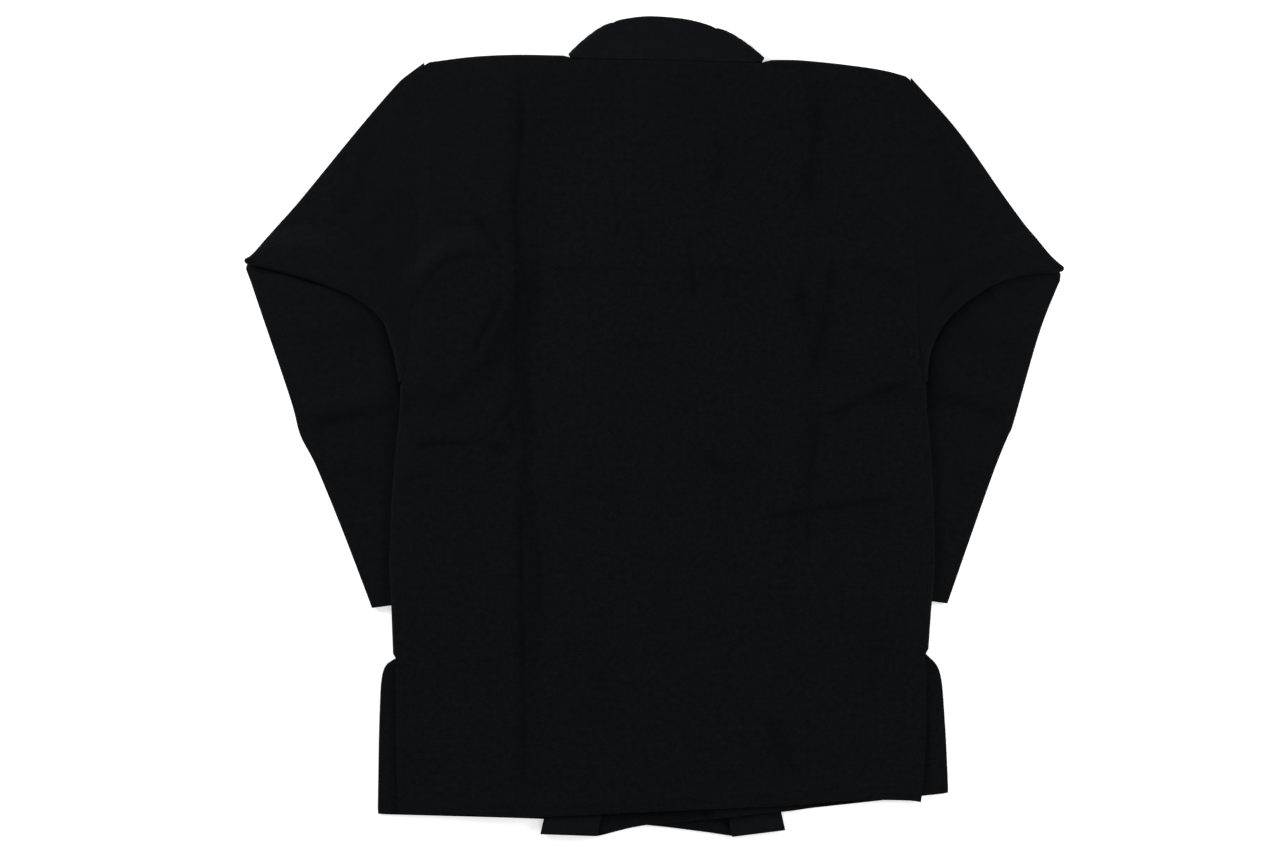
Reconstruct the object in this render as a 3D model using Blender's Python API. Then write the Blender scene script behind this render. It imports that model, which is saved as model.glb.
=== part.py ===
"""A jiu-jitsu gi jacket lying flat on its front, seen from the back.

The jacket is adult size. Both fronts cross under the back, each sleeve folds in a zig-zag pleat at
the elbow, and the forearms run down under the body. Every piece is a wall of cloth lying on the
piece below it. Sizes are in millimetres; X runs to the right sleeve, Y to the collar, Z up from the
table. "Left" is the wearer's left, which is at -X because the back faces up.
"""

import math
from collections import namedtuple

import bmesh
import bpy
import numpy as np
from mathutils import Vector
from mathutils.geometry import delaunay_2d_cdt

MM = 0.001

# Cloth and gaps
CLOTH = 1.8             # thickness of the pearl-weave cotton
SEAM_GAP = 0.3          # between two pieces sewn edge to edge
AIR = 1.0               # between panels that lie on each other
LIP = 4.0               # how far the back rolls out past the fold line at shoulders and sides
ROLL_START = 7.0        # length over which the roll begins and ends
LIP_CLEARANCE = 0.6     # height of the roll's lower rim over the front's underside
HEM_BULGE = 0.9         # round edge of a hem
TUCK_BULGE = 1.6        # round edge of a front inside the back's roll
MESH_STEP = 29.0        # spacing of the points in a panel
CURVE_STEP = 5.0        # spacing of the points on a curve before it is divided evenly
CURVE_PIECES = 12       # short straight pieces between two points of a curve's table
PLAIN_EDGE_ROWS = 2     # rows of points on a wall's round edge
ROLLED_EDGE_ROWS = 6    # the same where an edge rolls over, half outside and half inside
ROLL_ANGLES = (30, 60, 90)

# Sleeves pressed flat
TUBE_HALF = 2.3         # half the height of a flat sleeve
TUBE_HOLLOW = 0.5       # half the hollow between its two walls
TUBE_EDGE = 4.0         # length of the round edge of a flat sleeve
TUBE_STEP = 5.0         # height from one layer of sleeve to the next
TUBE_ANGLES = (50, 0, -50)
SLEEVE_COLUMNS = 8      # stretches from the underarm to the upper edge
UPPER_ROWS = 9          # sections from the armhole to the elbow
PLEAT_ROWS = 3          # sections across the middle layer of the pleat
FOREARM_ROWS = 13       # sections from the elbow to the cuff
FOLD_RADIUS = TUBE_STEP / 2
FOLD_REACH = FOLD_RADIUS + TUBE_HALF
FOLD_ANGLES = (45, 90, 135)

# Collar band
BAND = 5.5              # thickness of the stuffed band
BAND_EDGE = 2.2         # round edge of the band
BAND_FOLD = 0.2         # inner radius where it turns over the shoulder line
BAND_STEP = 26.0        # spacing of its sections
LAPEL_LENGTH = 850.0
NECK_ROWS = 10          # sections round the neck
TURN_ANGLES = (45, 90, 135)
BAND_PLACES = (0.0, 0.25, 0.5, 0.75, 1.0)

# How far the band's turns bulge, as a share of its thickness, from the seam to the free edge
TURN_SHARES = (0.0, 0.25, 0.5, 0.75, 0.9, 1.0)
TURN_BULGES = (0.8, 1.1, 1.15, 1.0, 0.62, 0.2)

# How the layers ease down beside what lies under them
STEP_MARGIN, STEP_RAMP = 5.0, 15.0          # beside the forearm's inner edge, a sharp press line
CUFF_MARGIN, CUFF_RAMP = 16.0, 110.0        # past the cuff
PLEAT_MARGIN, PLEAT_RAMP = 22.0, 42.0       # round the elbow pleat
LAPEL_MARGIN, LAPEL_RAMP = 13.0, 30.0       # beside a lapel
BACK_MARGIN, BACK_RAMP = 30.0, 108.0        # beside both lapels, as the back feels them
NECK_RISE, NECK_MARGIN, NECK_RAMP = 9.3, 30.0, 120.0

# Limits used to build the meshes
SAME_PLACE = 0.05       # points nearer than this are one
ON_LINE = 0.2           # points nearer a line than this lie on it
GRID_CLEAR = 0.42       # how far the grid keeps from the lines, as a share of its spacing
CORNER_COSINE = 0.7     # an edge that turns more sharply than this has a corner
SMOOTH_ANGLE = 50.0     # edges flatter than this are shaded smooth

# Middle of the whole jacket in the plan, which becomes the origin
CENTRE = (0.15, 0.5)

Colour = namedtuple("Colour", "red green blue roughness")
BLACK_COTTON = Colour(0.020, 0.021, 0.024, 0.92)
BLACK_BAND = Colour(0.022, 0.023, 0.027, 0.88)

# Edges of the body, in order round it
NECK_LEFT = (-90.0, 387.0)
NECK_RIGHT = (118.0, 382.3)
LEFT_SHOULDER = [(-241.5, 383.6), (-191, 390), (-144, 392), (-90, 391)]
RIGHT_SHOULDER = [(118, 386.3), (137, 386.6), (156, 386), (198, 382), (240, 376), (270, 368)]
LEFT_ARMHOLE = [(-262, 50), (-256, 100), (-252, 150), (-246, 270), (-241.5, 379.6)]
RIGHT_ARMHOLE = [(269.5, 364), (272, 270), (275, 150), (277, 100), (281, 50)]
LEFT_SIDE = [(-266, 50), (-267, 20), (-274, -53), (-278, -139), (-276, -187), (-274, -243)]
RIGHT_SIDE = [(285, 50), (287, 14), (292, -40), (295, -139), (291, -193), (288, -238)]
BACK_LEFT_VENT = [(-270, -243), (-270.5, -330), (-268, -405)]
BACK_RIGHT_VENT = [(280, -393), (285, -320), (284, -238)]
BACK_HEM = [(-268, -405), (-188, -405.5), (-119, -407.4), (0, -402), (134, -396),
            (200, -390.5), (264, -391), (280, -393)]

# Edges of the fronts
FRONT_LEFT_VENT = [(-270, -243), (-283, -256), (-287, -302), (-289, -405)]
FRONT_LEFT_HEM = [(-289, -405), (-119, -410), (-14, -416), (48, -423), (82, -428)]
FRONT_LEFT_SEAM = [(82, -428), (-4, -20), (-90, 387)]
FRONT_RIGHT_VENT = [(308, -383), (304.5, -312), (299, -258), (284, -238)]
FRONT_RIGHT_HEM = [(-60, -428), (-14, -417), (40, -412), (133, -402), (308, -383)]
FRONT_RIGHT_SEAM = [(118, 382.3), (29, -22), (-60, -428)]

# Lapels: the edge sewn to the front, then the free edge, both from the hem to the neck
LAPEL_LEFT_SEAM = [(82.6, -430), (-3.4, -20), (-84, 366)]
LAPEL_LEFT_FREE = [(138, -423), (46, -8), (-36.5, 398)]
LAPEL_RIGHT_SEAM = [(-60.6, -429), (28.4, -22), (112.6, 362)]
LAPEL_RIGHT_FREE = [(-119.5, -427), (-23, -10), (68, 410)]
COLLAR_LEFT_TURN = ((-87.5, 388.2), (-43.0, 424.5))
COLLAR_RIGHT_TURN = ((113.8, 384.2), (65.2, 418.6))
COLLAR_SEAM = [(-87.5, 388.2), (-79, 387.3), (-66, 386.8), (13, 385.0), (92, 383.25), (104, 383.1),
               (113.8, 384.2)]
COLLAR_FREE_EDGE = [(-43, 424.5), (-38.5, 427), (-31, 428.8), (-14, 431.2), (3, 431.5),
                    (28, 429.4), (45, 426.1), (58, 422.1), (65.2, 418.6)]

# Sleeves: the outlines that the pleat and the forearm follow, from the body side outwards
Sleeve = namedtuple("Sleeve", "side armhole top_edge visible_fold pleat_edge hidden_fold "
                              "inner_edge outer_edge cuff")
LEFT = Sleeve(
    side=-1,
    armhole=LEFT_ARMHOLE,
    top_edge=[(-241.5, 383.6), (-258, 371.5), (-271, 360), (-309, 316), (-372, 239),
              (-395, 213), (-417, 186), (-428, 176)],
    visible_fold=[(-268.5, 51.5), (-271.5, 69), (-277, 90), (-284, 110), (-299, 126), (-323, 140),
                  (-359, 153.5), (-408, 167), (-430, 172)],
    pleat_edge=[(-264, 51.5), (-225, 54), (-190, 80), (-166, 125), (-151, 170)],
    hidden_fold=[(-150, 177), (-197, 179), (-219, 172), (-240, 152), (-258, 138), (-278, 144),
                 (-305, 162), (-340, 174), (-380, 180), (-420, 180.5)],
    inner_edge=[(-150, 172), (-146, 102), (-146, 16), (-143, -40), (-138, -110), (-133, -168)],
    outer_edge=[(-421, 177), (-429.5, 170.5), (-423.5, 152), (-416.5, 131), (-382, 29), (-372, -8),
                (-356, -39), (-330, -102), (-303.5, -171), (-296.6, -189.7)],
    cuff=[(-133, -168), (-296.6, -189.7)],
)
RIGHT = Sleeve(
    side=1,
    armhole=RIGHT_ARMHOLE[::-1],
    top_edge=[(270, 368), (321, 310), (371, 239), (410, 187), (427, 170)],
    visible_fold=[(287.5, 51.5), (288.5, 69), (293, 87), (302, 104), (314, 119), (337, 138),
                  (357, 150), (386, 159), (430, 163.5)],
    pleat_edge=[(282, 51.5), (250, 56), (215, 84), (192, 125), (178, 165)],
    hidden_fold=[(175, 172), (215, 172), (243, 165), (262, 150), (280, 142), (300, 146),
                 (325, 162), (350, 173), (385, 181), (414, 184)],
    inner_edge=[(177, 168), (176, 123), (170, 60), (166, -13), (161, -80), (150, -163)],
    outer_edge=[(416, 180), (428, 160), (424, 148), (405, 99), (378, 5), (373, -7),
                (354, -55), (308.5, -185)],
    cuff=[(150, -163), (308.5, -185)],
)

# Soft creases pressed into the back: a path, the depth of the trough and half its width
CREASE_CREST = 0.48     # where the ridge beside a trough is highest, as a share of its reach
CREASE_HEIGHT = 4.0     # makes that ridge as high as the trough is deep
CREASE_FALL = 2.2       # how fast the ridge falls away
Crease = namedtuple("Crease", "path depth reach")
CREASES = (
    Crease([(-139, 386), (-139, 312), (-145, 239), (-142, 174)], 1.2, 16.0),
    Crease([(153, 373), (172, 344), (176, 318), (166, 275), (160, 230), (170, 172)], 1.2, 16.0),
    Crease([(-130, 163), (0, 165), (132, 162)], 0.8, 18.0),
    Crease([(-257, -20), (-200, -15), (-150, -26)], 1.0, 18.0),
    Crease([(106, -98), (160, -88), (213, -81), (258, -74)], 1.0, 18.0),
    Crease([(-136, -232), (-136.5, -286), (-136.5, -391)], 1.0, 16.0),
    Crease([(186, 14), (206, 20), (227, 31), (254, 41)], 1.0, 16.0),
)


def vectors(points):
    """The points of a table as an array."""
    return np.array(points, dtype=float)


def smooth_path(points, step):
    """Points about one step apart on a smooth curve through a table's points."""
    table = vectors(points)
    before = 2 * table[0] - table[1]
    after = 2 * table[-1] - table[-2]
    padded = np.vstack([before, table, after])
    curve = [table[0]]
    for index in range(len(table) - 1):
        p0, p1, p2, p3 = padded[index:index + 4]
        for t in np.linspace(0, 1, CURVE_PIECES + 1)[1:]:
            curve.append(0.5 * (2 * p1 + (p2 - p0) * t + (2 * p0 - 5 * p1 + 4 * p2 - p3) * t ** 2
                                + (3 * p1 - p0 - 3 * p2 + p3) * t ** 3))
    return resample(np.array(curve), step=step)


def resample(curve, step=None, count=None):
    """Evenly spaced points along a curve, either by spacing or by number of stretches."""
    curve = vectors(curve)
    lengths = np.concatenate([[0], np.cumsum(np.linalg.norm(np.diff(curve, axis=0), axis=1))])
    if count is None:
        count = max(1, int(round(lengths[-1] / step)))
    marks = np.linspace(0, lengths[-1], count + 1)
    return np.column_stack([np.interp(marks, lengths, curve[:, axis]) for axis in (0, 1)])


def path_normals(path, side):
    """Unit vectors across a path: on its left for side 1, on its right for side -1."""
    tangent = np.gradient(vectors(path), axis=0)
    tangent /= np.linalg.norm(tangent, axis=1)[:, None]
    return side * np.column_stack([-tangent[:, 1], tangent[:, 0]])


def ease(value):
    """A smooth step from 0 to 1."""
    value = np.clip(value, 0, 1)
    return value * value * (3 - 2 * value)


def distance_to_path(points, path):
    """Distance from each point to the nearest point of a path."""
    points = vectors(points)
    nearest = np.full(len(points), np.inf)
    path = vectors(path)
    for start, end in zip(path[:-1], path[1:]):
        along = end - start
        t = np.clip(((points - start) @ along) / (along @ along), 0, 1)
        gap = np.linalg.norm(points - (start + t[:, None] * along), axis=1)
        nearest = np.minimum(nearest, gap)
    return nearest


def is_inside(points, outline):
    """Whether each point lies inside a closed outline."""
    points = vectors(points)
    x, y = points[:, 0], points[:, 1]
    inside = np.zeros(len(points), dtype=bool)
    for (x1, y1), (x2, y2) in zip(outline, np.roll(outline, -1, axis=0)):
        if y1 == y2:
            continue
        crossing = (y1 > y) != (y2 > y)
        inside ^= crossing & (x < (x2 - x1) * (y - y1) / (y2 - y1) + x1)
    return inside


def cover(points, outline, margin, ramp):
    """1 over an outline and its margin, easing to 0 across the ramp outside it."""
    closed = np.vstack([outline, outline[:1]])
    gap = distance_to_path(points, closed)
    gap[is_inside(points, outline)] = 0
    return 1 - ease((gap - margin) / ramp)


def join_paths(*paths):
    """One outline from paths that follow each other, with each shared corner once."""
    points = [vectors(path) for path in paths]
    outline = [points[0]]
    for path in points[1:]:
        start = 1 if np.linalg.norm(path[0] - outline[-1][-1]) < SAME_PLACE else 0
        outline.append(path[start:])
    outline = np.vstack(outline)
    if np.linalg.norm(outline[0] - outline[-1]) < SAME_PLACE:
        outline = outline[:-1]
    return outline


def rolled_in(path, side, start, end):
    """The fold line of a rolled edge, one lip inside the visible edge, between two corners."""
    path = smooth_path(path, MESH_STEP)
    line = path + path_normals(path, side) * LIP
    line[0], line[-1] = start, end
    first = line[0] + (line[1] - line[0]) * ROLL_START / np.linalg.norm(line[1] - line[0])
    last = line[-1] + (line[-2] - line[-1]) * ROLL_START / np.linalg.norm(line[-2] - line[-1])
    return np.vstack([line[:1], first, line[1:-1], last, line[-1:]])


# The plan's lines, worked out once and shared by every piece that meets along them
left_armhole = resample(smooth_path(LEFT_ARMHOLE, CURVE_STEP), count=SLEEVE_COLUMNS)
right_armhole = resample(smooth_path(RIGHT_ARMHOLE, CURVE_STEP), count=SLEEVE_COLUMNS)
left_side = rolled_in(LEFT_SIDE, 1, start=left_armhole[0], end=BACK_LEFT_VENT[0])
right_side = rolled_in(RIGHT_SIDE, -1, start=right_armhole[-1], end=BACK_RIGHT_VENT[-1])
left_shoulder = rolled_in(LEFT_SHOULDER, -1, start=left_armhole[-1], end=NECK_LEFT)
right_shoulder = rolled_in(RIGHT_SHOULDER, -1, start=NECK_RIGHT, end=right_armhole[0])
neck_seam = resample([NECK_LEFT, NECK_RIGHT], step=MESH_STEP)
back_left_vent = smooth_path(BACK_LEFT_VENT, MESH_STEP)
back_right_vent = smooth_path(BACK_RIGHT_VENT, MESH_STEP)
back_hem = smooth_path(BACK_HEM, MESH_STEP)
front_left_vent = smooth_path(FRONT_LEFT_VENT, MESH_STEP)
front_left_hem = smooth_path(FRONT_LEFT_HEM, MESH_STEP)
front_left_seam = smooth_path(FRONT_LEFT_SEAM, MESH_STEP)
front_right_vent = smooth_path(FRONT_RIGHT_VENT, MESH_STEP)
front_right_hem = smooth_path(FRONT_RIGHT_HEM, MESH_STEP)
front_right_seam = smooth_path(FRONT_RIGHT_SEAM, MESH_STEP)

back_outline = join_paths(left_armhole, left_shoulder, neck_seam, right_shoulder, right_armhole,
                          right_side, back_right_vent[::-1], back_hem[::-1],
                          back_left_vent[::-1], left_side[::-1])
front_left_outline = join_paths(left_armhole, left_shoulder, front_left_seam[::-1],
                                front_left_hem[::-1], front_left_vent[::-1], left_side[::-1])
front_right_outline = join_paths(right_shoulder, right_armhole, right_side,
                                 front_right_vent[::-1], front_right_hem[::-1],
                                 front_right_seam[::-1])
lapel_left_outline = join_paths(smooth_path(LAPEL_LEFT_SEAM, MESH_STEP),
                                smooth_path(LAPEL_LEFT_FREE, MESH_STEP)[::-1])
lapel_right_outline = join_paths(smooth_path(LAPEL_RIGHT_SEAM, MESH_STEP),
                                 smooth_path(LAPEL_RIGHT_FREE, MESH_STEP)[::-1])


def pleat_outline(sleeve):
    """The middle layer of the elbow pleat, seen from above."""
    return join_paths(smooth_path(sleeve.visible_fold, CURVE_STEP),
                      smooth_path(sleeve.hidden_fold, CURVE_STEP)[::-1],
                      smooth_path(sleeve.pleat_edge, CURVE_STEP)[::-1])


def forearm_cover(points, sleeve):
    """1 over the forearm, easing down beside its inner edge, its cuff and its hidden fold."""
    x, y = vectors(points).T
    edge = vectors(sleeve.inner_edge)[::-1]
    inner_x = np.interp(y, edge[:, 1], edge[:, 0])
    past_edge = -sleeve.side * (x - inner_x)
    cuff_in, cuff_out = vectors(sleeve.cuff)
    cuff_y = cuff_in[1] + (x - cuff_in[0]) * (cuff_out[1] - cuff_in[1]) / (cuff_out[0] - cuff_in[0])
    fold = vectors(sleeve.hidden_fold)
    order = np.argsort(fold[:, 0])
    fold_y = np.interp(x, fold[order, 0], fold[order, 1])
    beside = 1 - ease((past_edge - STEP_MARGIN) / STEP_RAMP)
    below = 1 - ease((cuff_y - y - CUFF_MARGIN) / CUFF_RAMP)
    above = 1 - ease((y - fold_y - PLEAT_MARGIN) / PLEAT_RAMP)
    return beside * below * above


def lift(points):
    """How far the sleeves lift whatever lies over them."""
    total = np.zeros(len(points))
    for sleeve in (LEFT, RIGHT):
        total += TUBE_STEP * forearm_cover(points, sleeve)
        total += TUBE_STEP * cover(points, pleat_outline(sleeve), PLEAT_MARGIN, PLEAT_RAMP)
    return total


def over_left_front(points, margin=LAPEL_MARGIN, ramp=LAPEL_RAMP):
    """Height of the left front and its lapel, as felt by what lies on them."""
    panel = (CLOTH + AIR) * cover(points, front_left_outline, margin, ramp)
    lapel = (BAND + AIR) * cover(points, lapel_left_outline, margin, ramp)
    return np.maximum(panel, lapel)


def over_both_fronts(points):
    """Height of all that lies between the table and the back, the sleeves left out."""
    low = over_left_front(points, BACK_MARGIN, BACK_RAMP)
    panel = (CLOTH + AIR) * cover(points, front_right_outline, BACK_MARGIN, BACK_RAMP)
    lapel = (BAND + AIR) * cover(points, lapel_right_outline, BACK_MARGIN, BACK_RAMP)
    neck = NECK_RISE * (1 - ease((distance_to_path(points, neck_seam) - NECK_MARGIN) / NECK_RAMP))
    return np.maximum(low + np.maximum(panel, lapel), neck)


def front_left_underside(points):
    return lift(points)


def front_right_underside(points):
    return lift(points) + over_left_front(points)


def back_underside(points):
    height = lift(points) + over_both_fronts(points)
    return height + crease_relief(points)


def crease_relief(points):
    """The back's soft creases, as a low ridge on both sides of each path and none along it."""
    relief = np.zeros(len(points))
    for crease in CREASES:
        gap = distance_to_path(points, crease.path) / crease.reach
        relief += crease.depth * CREASE_HEIGHT * gap * np.exp(-CREASE_FALL * gap ** 2)
    return relief


def plan_mesh():
    """One triangulation of the whole plan, which every panel shares where they overlap."""
    lines = [np.vstack([outline, outline[:1]])
             for outline in (back_outline, front_left_outline, front_right_outline)]
    for sleeve in (LEFT, RIGHT):
        edge = smooth_path(sleeve.inner_edge, MESH_STEP)
        for past in (STEP_MARGIN, STEP_MARGIN + STEP_RAMP):
            lines.append(edge - np.array([sleeve.side * past, 0]))
    for crease in CREASES:
        path = smooth_path(crease.path, MESH_STEP)
        across = path_normals(path, 1) * crease.reach
        lines += [path, path + across * CREASE_CREST, path - across * CREASE_CREST]
    points, edges = [], []
    for line in lines:
        first = len(points)
        points.extend(line)
        edges.extend((first + i, first + i + 1) for i in range(len(line) - 1))
    low = np.min([line.min(axis=0) for line in lines], axis=0)
    high = np.max([line.max(axis=0) for line in lines], axis=0)
    row_step = MESH_STEP * math.sqrt(3) / 2
    rows = np.arange(low[1], high[1], row_step)
    grid = np.array([(x + (row % 2) * MESH_STEP / 2, y) for row, y in enumerate(rows)
                     for x in np.arange(low[0], high[0], MESH_STEP)])
    clear = np.min([distance_to_path(grid, line) for line in lines], axis=0)
    points.extend(grid[clear > GRID_CLEAR * MESH_STEP])
    coords, _, faces, *_ = delaunay_2d_cdt([Vector(p) for p in points], edges, [], 0,
                                          SAME_PLACE)
    return np.array([tuple(c) for c in coords]), np.array(faces)


def ordered_loop(faces):
    """The boundary of a set of triangles as one loop of point numbers, anticlockwise."""
    directed = {(f[i], f[(i + 1) % 3]) for f in faces for i in range(3)}
    following = {a: b for a, b in directed if (b, a) not in directed}
    loop = [min(following)]
    while following[loop[-1]] != loop[0]:
        loop.append(following[loop[-1]])
    if len(loop) != len(following):
        raise ValueError("a panel's edge isn't one loop")
    return loop


def on_paths(points, paths):
    """Whether each point lies on any of the paths."""
    return np.min([distance_to_path(points, path) for path in paths], axis=0) < ON_LINE


def edge_normals(outline, seams):
    """Outward unit vectors at a loop's points, along the seam where an edge leaves a seam."""
    ahead = np.roll(outline, -1, axis=0) - outline
    ahead /= np.linalg.norm(ahead, axis=1)[:, None]
    outward = np.column_stack([ahead[:, 1], -ahead[:, 0]])
    middle = (outline + np.roll(outline, -1, axis=0)) / 2
    seam_after = on_paths(middle, seams)
    seam_before = np.roll(seam_after, 1)
    behind = np.roll(ahead, 1, axis=0)
    total = outward + np.roll(outward, 1, axis=0)
    total /= np.linalg.norm(total, axis=1)[:, None]
    turns = (ahead * behind).sum(axis=1) < CORNER_COSINE
    leaving = seam_before & ~seam_after & turns
    joining = seam_after & ~seam_before & turns
    total[leaving] = behind[leaving]
    total[joining] = -ahead[joining]
    free = leaving | joining | (~seam_before & ~seam_after)
    return total, free


def plain_edge(bulge, top, bottom, count):
    """A round edge from a wall's top to its bottom: outward offsets and heights."""
    angles = np.pi / 2 - np.pi * np.arange(1, count + 1) / (count + 1)
    out = bulge[:, None] * np.cos(angles)
    middle = ((top + bottom) / 2)[:, None]
    half = ((top - bottom) / 2)[:, None]
    return out, middle + half * np.sin(angles)


def rolled_edge(top, bottom, rim):
    """A wall that rolls out and down to a rim: outward offsets and heights."""
    angles = np.radians(ROLL_ANGLES)
    back = angles[::-1]
    drop_out = (top - rim)[:, None]
    drop_in = (bottom - rim)[:, None]
    ones = np.ones_like(drop_out)
    out = np.hstack([LIP * np.sin(angles) * ones, (LIP - CLOTH) * np.sin(back) * ones])
    outer = top[:, None] - drop_out * (1 - np.cos(angles))
    inner = bottom[:, None] - drop_in * (1 - np.cos(back))
    return out, np.hstack([outer, inner])


def panel(name, plan, outline, underside, seams, bulge, colour, rolls=(), rim=None):
    """A cloth wall over the part of the plan inside an outline, with finished edges."""
    coords, faces = plan
    centres = coords[faces].mean(axis=1)
    faces = faces[is_inside(centres, outline)]
    used = np.unique(faces)
    number = {old: new for new, old in enumerate(used)}
    points = coords[used]
    faces = [[number[v] for v in face] for face in faces]
    loop = ordered_loop(faces)
    bottom = underside(points)
    top = bottom + CLOTH
    rows = [np.column_stack([points, top]), np.column_stack([points, bottom])]
    count = len(points)
    steps = ROLLED_EDGE_ROWS if rolls else PLAIN_EDGE_ROWS
    edge = points[loop]
    outward, free = edge_normals(edge, seams)
    out, height = plain_edge(np.where(free, bulge, 0.0), top[loop], bottom[loop], steps)
    if rolls:
        roll_out, roll_height = rolled_edge(top[loop], bottom[loop], rim(edge))
        share = roll_share(edge, rolls)[:, None]
        out = out * (1 - share) + roll_out * share
        height = height * (1 - share) + roll_height * share
    for step in range(steps):
        flat = edge + outward * out[:, step][:, None]
        rows.append(np.column_stack([flat, height[:, step]]))
    vertices = np.vstack(rows)
    triangles = [tuple(face) for face in faces]
    triangles += [tuple(v + count for v in reversed(face)) for face in faces]
    rings = [loop] + [[2 * count + step * len(loop) + i for i in range(len(loop))]
                      for step in range(steps)] + [[v + count for v in loop]]
    for upper, lower in zip(rings[:-1], rings[1:]):
        for i in range(len(loop)):
            j = (i + 1) % len(loop)
            triangles.append((upper[j], upper[i], lower[i], lower[j]))
    return solid(name, vertices, triangles, colour)


def roll_share(points, rolls):
    """1 where an edge rolls over fully, easing to 0 at the ends of the rolled stretch."""
    share = np.zeros(len(points))
    for line in rolls:
        near = distance_to_path(points, line) < ON_LINE
        from_start = np.linalg.norm(points - line[0], axis=1)
        from_end = np.linalg.norm(points - line[-1], axis=1)
        part = ease(np.minimum(from_start, from_end) / ROLL_START)
        share = np.maximum(share, np.where(near, part, 0.0))
    return share


def coons(start, end, side_first, side_last, rows):
    """Rows of points between two paths, whose ends follow two side paths."""
    first = resample(np.vstack([start[:1], side_first[1:-1], end[:1]]), count=rows)
    last = resample(np.vstack([start[-1:], side_last[1:-1], end[-1:]]), count=rows)
    u = np.linspace(0, 1, len(start))[:, None]
    result = []
    for row in range(rows + 1):
        v = row / rows
        across = (1 - u) * first[row] + u * last[row]
        along = (1 - v) * start + v * end
        corners = ((1 - u) * ((1 - v) * start[0] + v * end[0])
                   + u * ((1 - v) * start[-1] + v * end[-1]))
        result.append(across + along - corners)
    return result


def tube_ring(line, height, normals, half, reach):
    """One section of a flat sleeve: both walls and the two round edges, as a closed loop."""
    line3 = np.column_stack([line, height])
    first = line3[1] - line3[0]
    first /= np.linalg.norm(first)
    last = line3[-1] - line3[-2]
    last /= np.linalg.norm(last)
    core = line3.copy()
    core[0] += first * TUBE_EDGE
    core[-1] -= last * TUBE_EDGE
    angles = np.radians(TUBE_ANGLES)
    ring = list(core + normals * half)
    ring += [core[-1] + last * reach * math.cos(a) + normals[-1] * half * math.sin(a)
             for a in angles]
    ring += list((core - normals * half)[::-1])
    ring += [core[0] - first * reach * math.cos(a) - normals[0] * half * math.sin(a)
             for a in angles]
    return ring


def sleeve_sections(sleeve):
    """The middle line, height and normals of each section, from the armhole to the cuff."""
    flip = -sleeve.side
    armhole = resample(smooth_path(sleeve.armhole, CURVE_STEP), count=SLEEVE_COLUMNS)
    armhole = armhole + np.array([sleeve.side * SEAM_GAP, 0])
    armhole[-1] = vectors(sleeve.top_edge[0]) + np.array([sleeve.side * SEAM_GAP, 0])
    visible = resample(smooth_path(sleeve.visible_fold, CURVE_STEP), count=SLEEVE_COLUMNS)
    hidden = resample(smooth_path(sleeve.hidden_fold, CURVE_STEP), count=SLEEVE_COLUMNS)
    cuff = resample(sleeve.cuff, count=SLEEVE_COLUMNS)
    away_low = path_normals(visible, flip)
    away_high = path_normals(hidden, -flip)
    low_axis = visible - away_low * FOLD_REACH
    high_axis = hidden - away_high * FOLD_REACH
    upward = np.tile([0.0, 0.0, 1.0], (SLEEVE_COLUMNS + 1, 1))
    forearm_height, pleat_height = TUBE_HALF, TUBE_HALF + TUBE_STEP
    sections = []
    upper = coons(armhole, low_axis, np.vstack([armhole[0], low_axis[0]]),
                  smooth_path(sleeve.top_edge, CURVE_STEP), UPPER_ROWS)
    for line in upper:
        sections.append((line, TUBE_HALF + lift(line), upward))
    sections += turn(low_axis, away_low, pleat_height + FOLD_RADIUS, upward, 1)
    for line in coons(low_axis, high_axis, smooth_path(sleeve.pleat_edge, CURVE_STEP),
                      np.vstack([low_axis[-1], high_axis[-1]]), PLEAT_ROWS):
        sections.append((line, np.full(len(line), pleat_height), -upward))
    sections += turn(high_axis, away_high, forearm_height + FOLD_RADIUS, -upward, -1)
    for line in coons(high_axis, cuff, smooth_path(sleeve.inner_edge, CURVE_STEP),
                      smooth_path(sleeve.outer_edge, CURVE_STEP), FOREARM_ROWS):
        sections.append((line, np.full(len(line), forearm_height), upward))
    return sections


def turn(axis, away, axis_height, start_normal, sign):
    """Sections round a fold: the sleeve turns under itself about a line at axis_height."""
    sections = []
    for degrees in FOLD_ANGLES:
        angle = math.radians(degrees)
        line = axis + away * FOLD_RADIUS * math.sin(angle)
        height = np.full(len(axis), axis_height + FOLD_RADIUS * math.cos(angle))
        outward = np.column_stack([away, np.zeros(len(away))])
        normals = start_normal * math.cos(angle) + sign * outward * math.sin(angle)
        sections.append((line, height, normals))
    return sections


def sleeve_piece(name, sleeve):
    """A sleeve as one tube of cloth from the armhole to the open cuff."""
    outer, inner = [], []
    for line, height, normals in sleeve_sections(sleeve):
        outer.append(tube_ring(line, height, normals, TUBE_HALF, TUBE_EDGE))
        inner.append(tube_ring(line, height, normals, TUBE_HOLLOW, TUBE_EDGE - CLOTH))
    size = len(outer[0])
    rings = outer + inner[::-1]
    vertices = np.vstack([np.array(ring) for ring in rings])
    faces = []
    for row in range(len(rings)):
        after = (row + 1) % len(rings)
        for i in range(size):
            j = (i + 1) % size
            face = (row * size + i, row * size + j, after * size + j, after * size + i)
            faces.append(face if sleeve.side < 0 else face[::-1])
    return solid(name, vertices, faces, BLACK_COTTON)


def band_places(width):
    """Distances across the band at which its section has points."""
    return [BAND_EDGE + place * (width - 2 * BAND_EDGE) for place in BAND_PLACES]


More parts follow.
